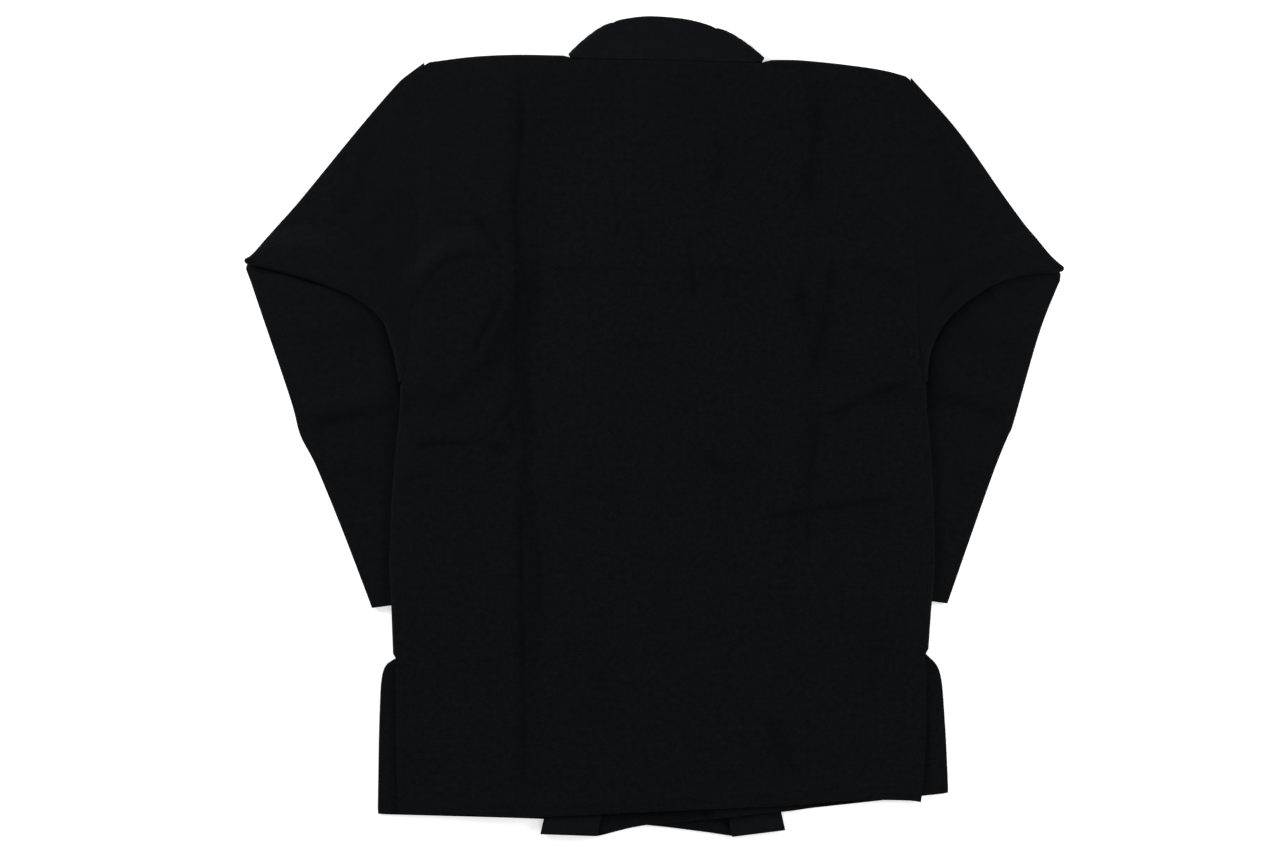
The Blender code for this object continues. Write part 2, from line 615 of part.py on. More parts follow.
def band_ring(seam, free, height, outer_down):
    """A section of the lapel lying flat: its outer face down on the front side, up at the neck."""
    seam, free = vectors(seam), vectors(free)
    across = free - seam
    width = np.linalg.norm(across)
    across /= width
    flat = [seam + across * place for place in band_places(width)]
    base = height(np.array(flat))
    side = height(np.array([free, seam]))
    bottom = [(*p, z) for p, z in zip(flat, base)]
    top = [(*p, z + BAND) for p, z in zip(flat, base)]
    free_edge = (*free, side[0] + BAND / 2)
    seam_edge = (*seam, side[1] + BAND / 2)
    if outer_down:
        return bottom + [free_edge] + top[::-1] + [seam_edge]
    return top + [free_edge] + bottom[::-1] + [seam_edge]


def band_turn(turn_line, outward, degrees):
    """A section of the band where it rolls over, bulging more at its middle than at its edges."""
    seam, free = vectors(turn_line[0]), vectors(turn_line[1])
    across = free - seam
    width = np.linalg.norm(across)
    across /= width
    reach = BAND + BAND_FOLD
    angle = math.radians(degrees)

    def place(along, radius):
        bulge = np.interp(along / width, TURN_SHARES, TURN_BULGES)
        flat = seam + across * along + outward * math.sin(angle) * radius * bulge
        return (*flat, reach - math.cos(angle) * radius)

    places = band_places(width)
    outer = [place(along, reach) for along in places]
    inner = [place(along, BAND_FOLD) for along in places]
    middle = (reach + BAND_FOLD) / 2
    return outer + [place(width, middle)] + inner[::-1] + [place(0, middle)]


def turn_outward(turn_line, side):
    """The direction in which a turn's rolled edge faces."""
    across = vectors(turn_line[1]) - vectors(turn_line[0])
    across /= np.linalg.norm(across)
    return side * np.array([across[1], -across[0]])


def on_table(points):
    """Height of the table."""
    return np.zeros(len(points))


def over_turned_band(points):
    """Height of the band's upper layer where it is doubled round the neck."""
    return np.full(len(points), BAND + 2 * BAND_FOLD)


def collar_piece():
    """The collar and both lapels as one stuffed band."""
    rows = int(LAPEL_LENGTH / BAND_STEP)
    seam = resample(LAPEL_LEFT_SEAM + [COLLAR_LEFT_TURN[0]], count=rows)
    free = resample(LAPEL_LEFT_FREE + [COLLAR_LEFT_TURN[1]], count=rows)
    rings = [band_ring(s, f, on_table, True) for s, f in zip(seam, free)]
    outward = turn_outward(COLLAR_LEFT_TURN, -1)
    rings += [band_turn(COLLAR_LEFT_TURN, outward, degrees) for degrees in TURN_ANGLES]
    seam = resample(smooth_path(COLLAR_SEAM, CURVE_STEP), count=NECK_ROWS)
    free = resample(smooth_path(COLLAR_FREE_EDGE, CURVE_STEP), count=NECK_ROWS)
    rings += [band_ring(s, f, over_turned_band, False) for s, f in zip(seam, free)]
    outward = turn_outward(COLLAR_RIGHT_TURN, 1)
    rings += [band_turn(COLLAR_RIGHT_TURN, outward, degrees) for degrees in TURN_ANGLES[::-1]]
    seam = resample(LAPEL_RIGHT_SEAM + [COLLAR_RIGHT_TURN[0]], count=rows)[::-1]
    free = resample(LAPEL_RIGHT_FREE + [COLLAR_RIGHT_TURN[1]], count=rows)[::-1]
    rings += [band_ring(s, f, over_left_front, True) for s, f in zip(seam, free)]
    size = len(rings[0])
    faces = []
    for row in range(len(rings) - 1):
        for i in range(size):
            j = (i + 1) % size
            faces.append((row * size + j, row * size + i, (row + 1) * size + i,
                          (row + 1) * size + j))
    last = (len(rings) - 1) * size
    faces.append(tuple(range(size)))
    faces.append(tuple(last + i for i in reversed(range(size))))
    return solid("collar_band", np.vstack(rings), faces, BLACK_BAND)


def cloth_material(name, colour):
    """Plain black cotton."""
    material = bpy.data.materials.new(name)
    material.use_nodes = True
    shader = material.node_tree.nodes["Principled BSDF"]
    shader.inputs["Base Color"].default_value = (colour.red, colour.green, colour.blue, 1.0)
    shader.inputs["Roughness"].default_value = colour.roughness
    shader.inputs["Metallic"].default_value = 0.0
    return material


def solid(name, vertices, faces, colour):
    """A named object from points in millimetres and faces, split to triangles."""
    mesh = bpy.data.meshes.new(name)
    centred = (np.asarray(vertices) - np.array([*CENTRE, 0.0])) * MM
    mesh.from_pydata(centred.tolist(), [], [tuple(int(v) for v in face) for face in faces])
    shape = bmesh.new()
    shape.from_mesh(mesh)
    bmesh.ops.triangulate(shape, faces=shape.faces[:], quad_method="SHORT_EDGE")
    shape.to_mesh(mesh)
    shape.free()
    mesh.shade_smooth()
    mesh.set_sharp_from_angle(angle=math.radians(SMOOTH_ANGLE))
    mesh.materials.append(cloth_material(name, colour))
    piece = bpy.data.objects.new(name, mesh)
    bpy.context.scene.collection.objects.link(piece)
    return piece


def back_rim(points):
    """Height of the rolled edge's lower rim, just over the front's underside."""
    return lift(points) + LIP_CLEARANCE


def main():
    for item in list(bpy.data.objects):
        bpy.data.objects.remove(item, do_unlink=True)
    plan = plan_mesh()
    armholes = [left_armhole, right_armhole]
    panel("back_panel", plan, back_outline, back_underside, armholes + [neck_seam], HEM_BULGE,
          BLACK_COTTON,
          rolls=(left_side, right_side, left_shoulder, right_shoulder), rim=back_rim)
    panel("front_left", plan, front_left_outline, front_left_underside,
          armholes + [front_left_seam], TUCK_BULGE, BLACK_COTTON)
    panel("front_right", plan, front_right_outline, front_right_underside,
          armholes + [front_right_seam], TUCK_BULGE, BLACK_COTTON)
    sleeve_piece("sleeve_left", LEFT)
    sleeve_piece("sleeve_right", RIGHT)
    collar_piece()


main()
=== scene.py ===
"""The looks of a black jiu-jitsu gi jacket that lies flat on its front, seen from the back.

Each piece of the CAD is rebuilt here as a finer wall of cloth on the same form, with its creases,
turned hems, rows of stitches and pearl weave. Sizes are in millimetres until a mesh is made.
"""

import math
from collections import namedtuple

import bpy
import numpy as np
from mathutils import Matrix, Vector, noise
from mathutils.geometry import delaunay_2d_cdt
from mathutils.kdtree import KDTree


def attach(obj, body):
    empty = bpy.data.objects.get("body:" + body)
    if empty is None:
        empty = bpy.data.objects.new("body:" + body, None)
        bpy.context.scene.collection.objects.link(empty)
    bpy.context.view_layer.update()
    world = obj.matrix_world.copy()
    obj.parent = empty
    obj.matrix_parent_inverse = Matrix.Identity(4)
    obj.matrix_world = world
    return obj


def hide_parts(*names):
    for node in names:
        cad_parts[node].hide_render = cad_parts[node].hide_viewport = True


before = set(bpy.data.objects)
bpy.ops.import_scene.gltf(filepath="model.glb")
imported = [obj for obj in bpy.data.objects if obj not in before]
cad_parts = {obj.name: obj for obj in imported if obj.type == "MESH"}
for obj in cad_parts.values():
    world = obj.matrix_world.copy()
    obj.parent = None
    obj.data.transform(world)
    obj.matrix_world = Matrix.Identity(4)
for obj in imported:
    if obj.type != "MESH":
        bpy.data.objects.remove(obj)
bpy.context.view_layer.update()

MM = 0.001

# Cloth and gaps, as in the solids
CLOTH = 1.8
SEAM_GAP = 0.05
AIR = 1.0
LIP = 4.0
ROLL_START = 2.5
NECK_ROLL = 0.6
LIP_CLEARANCE = 0.6
HEM_BULGE = 0.9
TUCK_BULGE = 1.6
MESH_STEP = 5.5
OUTLINE_STEP = 12.0

# Sleeves pressed flat
TUBE_HALF = 2.3
TUBE_HOLLOW = 0.5
TUBE_EDGE = 4.0
TUBE_STEP = 5.0
SLEEVE_COLUMNS = 44
SLEEVE_ROWS = {"upper": 44, "pleat": 14, "forearm": 52}
FOLD_RADIUS = TUBE_STEP / 2
FOLD_REACH = FOLD_RADIUS + TUBE_HALF
FOLD_ANGLES = (22.5, 45, 67.5, 90, 112.5, 135, 157.5)

FOLD_LEAN = 3.6

# Collar band
BAND = 5.5
BAND_EDGE = 2.2
BAND_FOLD = 0.2
BAND_STEP = 6.0
LAPEL_LENGTH = 850.0
NECK_ROWS = 40
TURN_ANGLES = (15, 30, 45, 60, 75, 90, 105, 120, 135, 150, 165)
BAND_ROWS = 5
SEAM_EDGE = 0.8

# How far the band's turns bulge, as a share of its thickness, from the seam to the free edge
TURN_SHARES = (0.0, 0.12, 0.25, 0.38, 0.5, 0.62, 0.75, 0.83, 0.9, 0.96, 1.0)
TURN_BULGES = (0.8, 0.97, 1.1, 1.15, 1.15, 1.11, 1.0, 0.84, 0.62, 0.38, 0.2)

# How the layers ease down beside what lies under them
STEP_MARGIN, STEP_RAMP = 3.0, 11.0
CUFF_MARGIN, CUFF_RAMP = 10.0, 116.0
PLEAT_MARGIN, PLEAT_RAMP = 9.0, 26.0
LAPEL_MARGIN, LAPEL_RAMP = 8.0, 26.0
BACK_MARGIN, BACK_RAMP = 28.0, 110.0
NECK_RISE, NECK_MARGIN, NECK_RAMP = 9.3, 30.0, 120.0

CREASE_STRENGTH = 1.5
CREASE_STEP = 3.2
CREASE_OFFSETS = (-8.0, -4.8, -2.2, 0.0, 2.2, 4.8, 8.0)

# Turned hems and stitches
HEM_WIDTH = 19.0
HEM_RISE = 0.7
HEM_SLOPE = 2.0
STITCH_PITCH = 3.6
STITCH_LENGTH = 2.7
STITCH_HALF = 0.38
STITCH_SINK = 0.12

CENTRE = (0.15, 0.5)

# Edges of the body, in order round it
NECK_LEFT = (-90.0, 387.0)
NECK_RIGHT = (118.0, 382.3)
LEFT_SHOULDER = [(-241.5, 383.6), (-191, 390), (-144, 392), (-90, 391)]
RIGHT_SHOULDER = [(118, 386.3), (137, 386.6), (156, 386), (198, 382), (240, 376), (270, 368)]
LEFT_ARMHOLE = [(-262, 50), (-256, 100), (-252, 150), (-246, 270), (-241.5, 379.6)]
RIGHT_ARMHOLE = [(269.5, 364), (272, 270), (275, 150), (277, 100), (281, 50)]
LEFT_SIDE = [(-266, 50), (-267, 20), (-274, -53), (-278, -139), (-276, -187), (-274, -243)]
RIGHT_SIDE = [(285, 50), (287, 14), (292, -40), (295, -139), (291, -193), (288, -238)]
BACK_LEFT_VENT = [(-270, -243), (-270.5, -330), (-268, -405)]
BACK_RIGHT_VENT = [(280, -393), (285, -320), (284, -238)]
BACK_HEM = [(-268, -405), (-188, -405.5), (-119, -407.4), (0, -402), (134, -396),
            (200, -390.5), (264, -391), (280, -393)]

# Edges of the fronts
FRONT_LEFT_VENT = [(-270, -243), (-283, -256), (-287, -302), (-289, -405)]
FRONT_LEFT_HEM = [(-289, -405), (-119, -410), (-14, -416), (48, -423), (82, -428)]
FRONT_LEFT_SEAM = [(82, -428), (-4, -20), (-90, 387)]
FRONT_RIGHT_VENT = [(308, -383), (304.5, -312), (299, -258), (284, -238)]
FRONT_RIGHT_HEM = [(-60, -428), (-14, -417), (40, -412), (133, -402), (308, -383)]
FRONT_RIGHT_SEAM = [(118, 382.3), (29, -22), (-60, -428)]

# Lapels: the edge sewn to the front, then the free edge, both from the hem to the neck
LAPEL_LEFT_SEAM = [(82.1, -430), (-3.9, -20), (-84, 366)]
LAPEL_LEFT_FREE = [(138, -423), (46, -8), (-36.5, 398)]
LAPEL_RIGHT_SEAM = [(-60.1, -429), (28.9, -22), (112.6, 362)]
LAPEL_RIGHT_FREE = [(-119.5, -427), (-23, -10), (68, 410)]
COLLAR_LEFT_TURN = ((-87.5, 388.2), (-43.0, 424.5))
COLLAR_RIGHT_TURN = ((113.8, 384.2), (65.2, 418.6))
COLLAR_SEAM = [(-87.5, 388.2), (-79, 387.2), (-66, 386.6), (13, 384.8), (92, 383.05), (104, 383.0),
               (113.8, 384.2)]
COLLAR_FREE_EDGE = [(-43, 424.5), (-38.5, 427), (-31, 428.8), (-14, 431.2), (3, 431.5),
                    (28, 429.4), (45, 426.1), (58, 422.1), (65.2, 418.6)]

# Sleeves: the outlines that the pleat and the forearm follow, from the body side outwards
Sleeve = namedtuple("Sleeve", "side armhole top_edge visible_fold pleat_edge hidden_fold "
                              "inner_edge outer_edge cuff")
LEFT = Sleeve(
    side=-1,
    armhole=LEFT_ARMHOLE,
    top_edge=[(-241.5, 383.6), (-258, 371.5), (-271, 360), (-309, 316), (-372, 239),
              (-395, 213), (-417, 186), (-428, 176)],
    visible_fold=[(-268, 46.5), (-271.5, 69), (-277, 90), (-284, 110), (-299, 126), (-323, 140),
                  (-359, 153.5), (-408, 167), (-430, 172)],
    pleat_edge=[(-264, 51.5), (-225, 54), (-190, 80), (-166, 125), (-151, 170)],
    hidden_fold=[(-150, 177), (-197, 179), (-219, 172), (-240, 152), (-258, 138), (-278, 144),
                 (-305, 162), (-340, 174), (-380, 180), (-420, 180.5)],
    inner_edge=[(-150, 172), (-146, 102), (-146, 16), (-143, -40), (-138, -110), (-133, -168)],
    outer_edge=[(-421, 177), (-429.5, 170.5), (-423.5, 152), (-416.5, 131), (-382, 29), (-372, -8),
                (-356, -39), (-330, -102), (-303.5, -171), (-296.6, -189.7)],
    cuff=[(-133, -168), (-296.6, -189.7)],
)
RIGHT = Sleeve(
    side=1,
    armhole=RIGHT_ARMHOLE[::-1],
    top_edge=[(270, 368), (321, 310), (371, 239), (410, 187), (427, 170)],
    visible_fold=[(287, 46.5), (288.5, 69), (293, 87), (302, 104), (314, 119), (337, 138),
                  (357, 150), (386, 159), (430, 163.5)],
    pleat_edge=[(282, 51.5), (250, 56), (215, 84), (192, 125), (178, 165)],
    hidden_fold=[(175, 172), (215, 172), (243, 165), (262, 150), (280, 142), (300, 146),
                 (325, 162), (350, 173), (385, 181), (414, 184)],
    inner_edge=[(177, 168), (176, 123), (170, 60), (166, -13), (161, -80), (150, -163)],
    outer_edge=[(416, 180), (428, 160), (424, 148), (405, 99), (378, 5), (373, -7),
                (354, -55), (308.5, -185)],
    cuff=[(150, -163), (308.5, -185)],
)

# Creases of the back: a path, how high the cloth stands beside it, and how far that reaches.
# A lean above 0 raises the path's left side more, and below 0 its right side.
Crease = namedtuple("Crease", "path rise reach lean")
# The rise and reach also set how dark and how wide the painted shade along each crease is.
BACK_CREASES = (
    Crease([(-139, 386), (-139, 312), (-145, 239), (-142, 174)], 1.6, 13, 0.4),
    Crease([(-142, 174), (-144, 102), (-143, 51), (-151, 16), (-146, -26)], 1.4, 10, 0.5),
    Crease([(-142, -20), (-139, -46), (-139, -139), (-136.5, -286), (-136.5, -391)], 1.5, 9, 0.3),
    Crease([(-151, 20), (-168, -4), (-183, -18)], 1.0, 8, 0.0),
    Crease([(154, 372), (168, 344), (173, 318), (167, 285), (163, 260), (165, 226)], 1.0, 15, -0.3),
    Crease([(189, 181), (184, 150), (181, 123), (172, 84), (162, 39)], 1.4, 11, -0.4),
    Crease([(162, 39), (169, -13), (162, -55), (160, -139)], 1.0, 10, -0.3),
    Crease([(-264, 105), (-261, 120), (-255, 130), (-239, 150), (-230, 162), (-217, 173),
            (-197, 179), (-170, 178)], 1.1, 9, 0.0),
    Crease([(-155, 140), (-173, 110), (-182, 91), (-190, 73)], 1.3, 10, 0.2),
    Crease([(195, 170), (243, 163), (275, 148)], 0.8, 12, 0.0),
    Crease([(176, 13), (200, 18), (227, 31), (252, 42), (274, 48)], 1.3, 9, 0.3),
    Crease([(246, 90), (262, 94), (276, 100)], 1.0, 6, 0.0),
    Crease([(240, 76), (258, 82), (274, 84)], 0.8, 6, 0.0),
    Crease([(-132, 163), (-60, 165), (20, 164), (132, 162)], 0.6, 9, 0.2),
    Crease([(-257, -20), (-215, -17), (-180, -19), (-150, -26)], 1.2, 10, 0.3),
    Crease([(-267, -55), (-245, -52), (-225, -51)], 0.7, 8, 0.0),
    Crease([(106, -98), (160, -88), (213, -81), (258, -74)], 1.3, 10, -0.3),
    Crease([(40, -10), (60, -36), (84, -46), (110, -44)], 1.0, 16, 0.0),
    Crease([(-188, 223), (-174, 204), (-162, 186)], 1.3, 9, 0.0),
    Crease([(38, 202), (40, 170), (42, 136)], 1.2, 8, 0.2),
    Crease([(-15, 222), (-14, 204), (-16, 186)], 0.8, 7, 0.0),
    Crease([(64, 312), (69, 284), (64, 252)], 0.9, 9, 0.0),
    Crease([(-40, 246), (-37, 222), (-40, 196)], 0.7, 7, 0.0),
    Crease([(70, 180), (75, 158), (80, 138)], 0.7, 8, 0.0),
    Crease([(-60, 92), (-30, 84), (10, 88)], 0.6, 12, 0.0),
    Crease([(-96, -60), (-62, -72), (-30, -66)], 0.8, 14, 0.0),
    Crease([(118, -300), (132, -334), (146, -366)], 1.2, 18, 0.0),
    Crease([(-100, -210), (-60, -250), (-54, -320)], 0.5, 22, 0.0),
    Crease([(222, -160), (232, -230), (228, -300)], 0.5, 20, 0.0),
)

# Creases of the sleeves, on the walls that face up
# Their rise and reach also set how dark and how wide the painted shade along each crease is.
SLEEVE_CREASES = {
    "upper": (
        Crease([(-383, 190), (-368, 187), (-350, 181)], 0.8, 7, 0.0),
        Crease([(-300, 330), (-304, 270), (-330, 214)], 0.6, 22, 0.0),
        Crease([(-268, 250), (-300, 200), (-346, 176)], 0.5, 16, 0.2),
        Crease([(300, 318), (310, 262), (338, 210)], 0.6, 22, 0.0),
        Crease([(292, 122), (316, 150), (352, 172)], 0.8, 12, 0.2),
        Crease([(390, 182), (368, 178), (344, 168)], 0.7, 8, 0.0),
    ),
    "forearm": (
        Crease([(-272, 22), (-300, 14), (-330, 10), (-368, 2)], 1.5, 12, -0.4),
        Crease([(-282, -60), (-304, -52), (-344, -46)], 0.6, 14, 0.0),
        Crease([(-290, 110), (-330, 92), (-380, 96)], 0.7, 18, 0.0),
        Crease([(292, 36), (327, 25), (350, 18), (374, 10)], 1.6, 11, 0.5),
        Crease([(298, -40), (322, -52), (348, -50)], 0.6, 14, 0.0),
        Crease([(312, 96), (350, 84), (396, 92)], 0.7, 18, 0.0),
    ),
}

# Creases of the fronts, on their skirts below the vents
FRONT_CREASES = (
    Crease([(-279, -275), (-280, -330), (-281, -390)], 0.5, 4, 0.0),
    Crease([(297, -290), (298, -340), (299, -376)], 0.5, 4, 0.0),
)


def vectors(points):
    """The points of a table as an array."""
    return np.array(points, dtype=float)


def resample(curve, step=None, count=None):
    """Evenly spaced points along a curve, either by spacing or by number of stretches."""
    curve = vectors(curve)
    lengths = np.concatenate([[0], np.cumsum(np.linalg.norm(np.diff(curve, axis=0), axis=1))])
    if count is None:
        count = max(1, int(round(lengths[-1] / step)))
    marks = np.linspace(0, lengths[-1], count + 1)
    return np.column_stack([np.interp(marks, lengths, curve[:, axis]) for axis in (0, 1)])


def smooth_path(points, step):
    """Points about one step apart on a smooth curve through a table's points."""
    table = vectors(points)
    before = 2 * table[0] - table[1]
    after = 2 * table[-1] - table[-2]
    padded = np.vstack([before, table, after])
    curve = [table[0]]
    for index in range(len(table) - 1):
        p0, p1, p2, p3 = padded[index:index + 4]
        for t in np.linspace(0, 1, 13)[1:]:
            curve.append(0.5 * (2 * p1 + (p2 - p0) * t + (2 * p0 - 5 * p1 + 4 * p2 - p3) * t ** 2
                                + (3 * p1 - p0 - 3 * p2 + p3) * t ** 3))
    return resample(np.array(curve), step=step)


def path_normals(path, side):
    """Unit vectors across a path: on its left for side 1, on its right for side -1."""
    tangent = np.gradient(vectors(path), axis=0)
    tangent /= np.linalg.norm(tangent, axis=1)[:, None]
    return side * np.column_stack([-tangent[:, 1], tangent[:, 0]])


def ease(value):
    """A smooth step from 0 to 1."""
    value = np.clip(value, 0, 1)
    return value * value * (3 - 2 * value)


def distance_to_path(points, path, signed=False):
    """Distance from each point to a path; signed distances are positive on its left."""
    points = vectors(points)
    nearest = np.full(len(points), np.inf)
    side = np.ones(len(points))
    path = vectors(path)
    for start, end in zip(path[:-1], path[1:]):
        along = end - start
        offset = points - start
        t = np.clip((offset @ along) / (along @ along), 0, 1)
        gap = np.linalg.norm(offset - t[:, None] * along, axis=1)
        closer = gap < nearest
        nearest[closer] = gap[closer]
        if signed:
            turn_of = along[0] * offset[:, 1] - along[1] * offset[:, 0]
            side[closer] = np.where(turn_of[closer] >= 0, 1.0, -1.0)
    return nearest * side


def is_inside(points, outline):
    """Whether each point lies inside a closed outline."""
    points = vectors(points)
    x, y = points[:, 0], points[:, 1]
    inside = np.zeros(len(points), dtype=bool)
    for (x1, y1), (x2, y2) in zip(outline, np.roll(outline, -1, axis=0)):
        if y1 == y2:
            continue
        crossing = (y1 > y) != (y2 > y)
        inside ^= crossing & (x < (x2 - x1) * (y - y1) / (y2 - y1) + x1)
    return inside


def cover(points, outline, margin, ramp):
    """1 over an outline and its margin, easing to 0 across the ramp outside it."""
    closed = np.vstack([outline, outline[:1]])
    gap = distance_to_path(points, closed)
    gap[is_inside(points, outline)] = 0
    return 1 - ease((gap - margin) / ramp)


def join_paths(*paths):
    """One outline from paths that follow each other, with each shared corner once."""
    points = [vectors(path) for path in paths]
    outline = [points[0]]
    for path in points[1:]:
        start = 1 if np.linalg.norm(path[0] - outline[-1][-1]) < 0.01 else 0
        outline.append(path[start:])
    outline = np.vstack(outline)
    if np.linalg.norm(outline[0] - outline[-1]) < 0.01:
        outline = outline[:-1]
    return outline


def rolled_in(path, side, start, end):
    """The fold line of a rolled edge, one lip inside the visible edge, between two corners."""
    path = smooth_path(path, MESH_STEP)
    line = path + path_normals(path, side) * LIP
    line[0], line[-1] = start, end
    return line


# The plan's lines, shared by every piece that meets along them
left_armhole = resample(smooth_path(LEFT_ARMHOLE, 3), count=SLEEVE_COLUMNS)
right_armhole = resample(smooth_path(RIGHT_ARMHOLE, 3), count=SLEEVE_COLUMNS)
left_side = rolled_in(LEFT_SIDE, 1, left_armhole[0], BACK_LEFT_VENT[0])
right_side = rolled_in(RIGHT_SIDE, -1, right_armhole[-1], BACK_RIGHT_VENT[-1])
left_shoulder = rolled_in(LEFT_SHOULDER, -1, left_armhole[-1], NECK_LEFT)
right_shoulder = rolled_in(RIGHT_SHOULDER, -1, NECK_RIGHT, right_armhole[0])
neck_seam = resample([NECK_LEFT, NECK_RIGHT], step=MESH_STEP)
back_left_vent = smooth_path(BACK_LEFT_VENT, MESH_STEP)
back_right_vent = smooth_path(BACK_RIGHT_VENT, MESH_STEP)
back_hem = smooth_path(BACK_HEM, MESH_STEP)
front_left_vent = smooth_path(FRONT_LEFT_VENT, MESH_STEP)
front_left_hem = smooth_path(FRONT_LEFT_HEM, MESH_STEP)
front_left_seam = smooth_path(FRONT_LEFT_SEAM, MESH_STEP)
front_right_vent = smooth_path(FRONT_RIGHT_VENT, MESH_STEP)
front_right_hem = smooth_path(FRONT_RIGHT_HEM, MESH_STEP)
front_right_seam = smooth_path(FRONT_RIGHT_SEAM, MESH_STEP)

back_outline = join_paths(left_armhole, left_shoulder, neck_seam, right_shoulder, right_armhole,
                          right_side, back_right_vent[::-1], back_hem[::-1],
                          back_left_vent[::-1], left_side[::-1])
front_left_outline = join_paths(left_armhole, left_shoulder, front_left_seam[::-1],
                                front_left_hem[::-1], front_left_vent[::-1], left_side[::-1])
front_right_outline = join_paths(right_shoulder, right_armhole, right_side,
                                 front_right_vent[::-1], front_right_hem[::-1],
                                 front_right_seam[::-1])
lapel_left_outline = join_paths(smooth_path(LAPEL_LEFT_SEAM, OUTLINE_STEP),
                                smooth_path(LAPEL_LEFT_FREE, OUTLINE_STEP)[::-1])
lapel_right_outline = join_paths(smooth_path(LAPEL_RIGHT_SEAM, OUTLINE_STEP),
                                 smooth_path(LAPEL_RIGHT_FREE, OUTLINE_STEP)[::-1])


def pleat_outline(sleeve):
    """The middle layer of the elbow pleat, seen from above."""
    return join_paths(smooth_path(sleeve.visible_fold, OUTLINE_STEP),
                      smooth_path(sleeve.hidden_fold, OUTLINE_STEP)[::-1],
                      smooth_path(sleeve.pleat_edge, OUTLINE_STEP)[::-1])


def forearm_cover(points, sleeve):
    """1 over the forearm, easing down beside its inner edge, its cuff and its hidden fold."""
    x, y = vectors(points).T
    edge = vectors(sleeve.inner_edge)[::-1]
    inner_x = np.interp(y, edge[:, 1], edge[:, 0])
    past_edge = -sleeve.side * (x - inner_x)
    cuff_in, cuff_out = vectors(sleeve.cuff)
    cuff_y = cuff_in[1] + (x - cuff_in[0]) * (cuff_out[1] - cuff_in[1]) / (cuff_out[0] - cuff_in[0])
    fold = vectors(sleeve.hidden_fold)
    order = np.argsort(fold[:, 0])
    fold_y = np.interp(x, fold[order, 0], fold[order, 1])
    beside = 1 - ease((past_edge - STEP_MARGIN) / STEP_RAMP)
    below = 1 - ease((cuff_y - y - CUFF_MARGIN) / CUFF_RAMP)
    above = 1 - ease((y - fold_y - PLEAT_MARGIN) / PLEAT_RAMP)
    return beside * below * above


def lift(points):
    """How far the sleeves lift whatever lies over them."""
    total = np.zeros(len(points))
    for sleeve in (LEFT, RIGHT):
        total += TUBE_STEP * forearm_cover(points, sleeve)
        total += TUBE_STEP * cover(points, pleat_outline(sleeve), PLEAT_MARGIN, PLEAT_RAMP)
    return total


def coarse(outline):
    """An outline with fewer points, for distances."""
    closed = np.vstack([outline, outline[:1]])
    return resample(closed, step=OUTLINE_STEP)[:-1]


def over_left_front(points, margin=LAPEL_MARGIN, ramp=LAPEL_RAMP):
    """Height of the left front and its lapel, as felt by what lies on them."""
    panel = (CLOTH + AIR) * cover(points, coarse(front_left_outline), margin, ramp)
    lapel = (BAND + AIR) * cover(points, lapel_left_outline, margin, ramp)
    return np.maximum(panel, lapel)


def over_both_fronts(points):
    """Height of all that lies between the table and the back, the sleeves left out."""
    low = over_left_front(points, BACK_MARGIN, BACK_RAMP)
    panel = (CLOTH + AIR) * cover(points, coarse(front_right_outline), BACK_MARGIN, BACK_RAMP)
    lapel = (BAND + AIR) * cover(points, lapel_right_outline, BACK_MARGIN, BACK_RAMP)
    neck = NECK_RISE * (1 - ease((distance_to_path(points, neck_seam) - NECK_MARGIN) / NECK_RAMP))
    return np.maximum(low + np.maximum(panel, lapel), neck)


def crease_relief(points, creases):
    """Cloth standing up on both sides of each crease, with the crease itself left low."""
    relief = np.zeros(len(points))
    for crease in creases:
        path = smooth_path(crease.path, 6)
        gap = distance_to_path(points, path, signed=True) / crease.reach
        lengths = np.concatenate([[0], np.cumsum(np.linalg.norm(np.diff(path, axis=0), axis=1))])
        nearest = np.argmin(np.linalg.norm(points[:, None, :] - path[None, :, :], axis=2), axis=1)
        along = lengths[nearest] / lengths[-1]
        fade = ease(np.minimum(along, 1 - along) / 0.18)
        lean = 1 + crease.lean * np.sign(gap)
        size = np.abs(gap)
        shape = 1 - np.exp(-2.2 * size ** 1.4)
        shape *= np.exp(-0.42 * size ** 2)
        relief += CREASE_STRENGTH * crease.rise * shape * lean * (0.2 + 0.8 * fade)
    return relief


def softness(points, scale, height, seed):
    """A low even swell, as soft cloth has between its creases."""
    return np.array([height * (0.5 + 0.5 * noise.noise(Vector((x / scale, y / scale, seed))))
                     for x, y in points])


def hem_relief(points, edges):
    """The doubled cloth of a turned hem, along the edges named."""
    gap = np.min([distance_to_path(points, edge) for edge in edges], axis=0)
    return HEM_RISE * (1 - ease((gap - HEM_WIDTH) / HEM_SLOPE))


FRONT_HEMS = {
    "left": (front_left_vent, front_left_hem),
    "right": (front_right_vent, front_right_hem),
}
BACK_HEMS = (back_left_vent, back_hem, back_right_vent)


def front_left_underside(points):
    return lift(points)


def front_right_underside(points):
    return lift(points) + over_left_front(points)


def front_left_relief(points):
    return hem_relief(points, FRONT_HEMS["left"]) + crease_relief(points, FRONT_CREASES)


def front_right_relief(points):
    return hem_relief(points, FRONT_HEMS["right"]) + crease_relief(points, FRONT_CREASES)


def back_underside(points):
    """The back lies on everything, and carries the creases and a soft swell."""
    height = lift(points) + over_both_fronts(points)
    inward = distance_to_path(points, np.vstack([coarse(back_outline), coarse(back_outline)[:1]]))
    form = crease_relief(points, BACK_CREASES)
    form += softness(points, 60, 1.3, 3.0) + softness(points, 21, 0.5, 8.0)
    return height + form * ease(inward / 14)


def back_relief(points):
    return hem_relief(points, BACK_HEMS)


def apart(points, others, distance):
    """Whether each point is at least a distance from all the others."""
    tree = KDTree(len(others))
    for index, (x, y) in enumerate(others):
        tree.insert((x, y, 0), index)
    tree.balance()
    return np.array([tree.find((x, y, 0))[2] > distance for x, y in points])


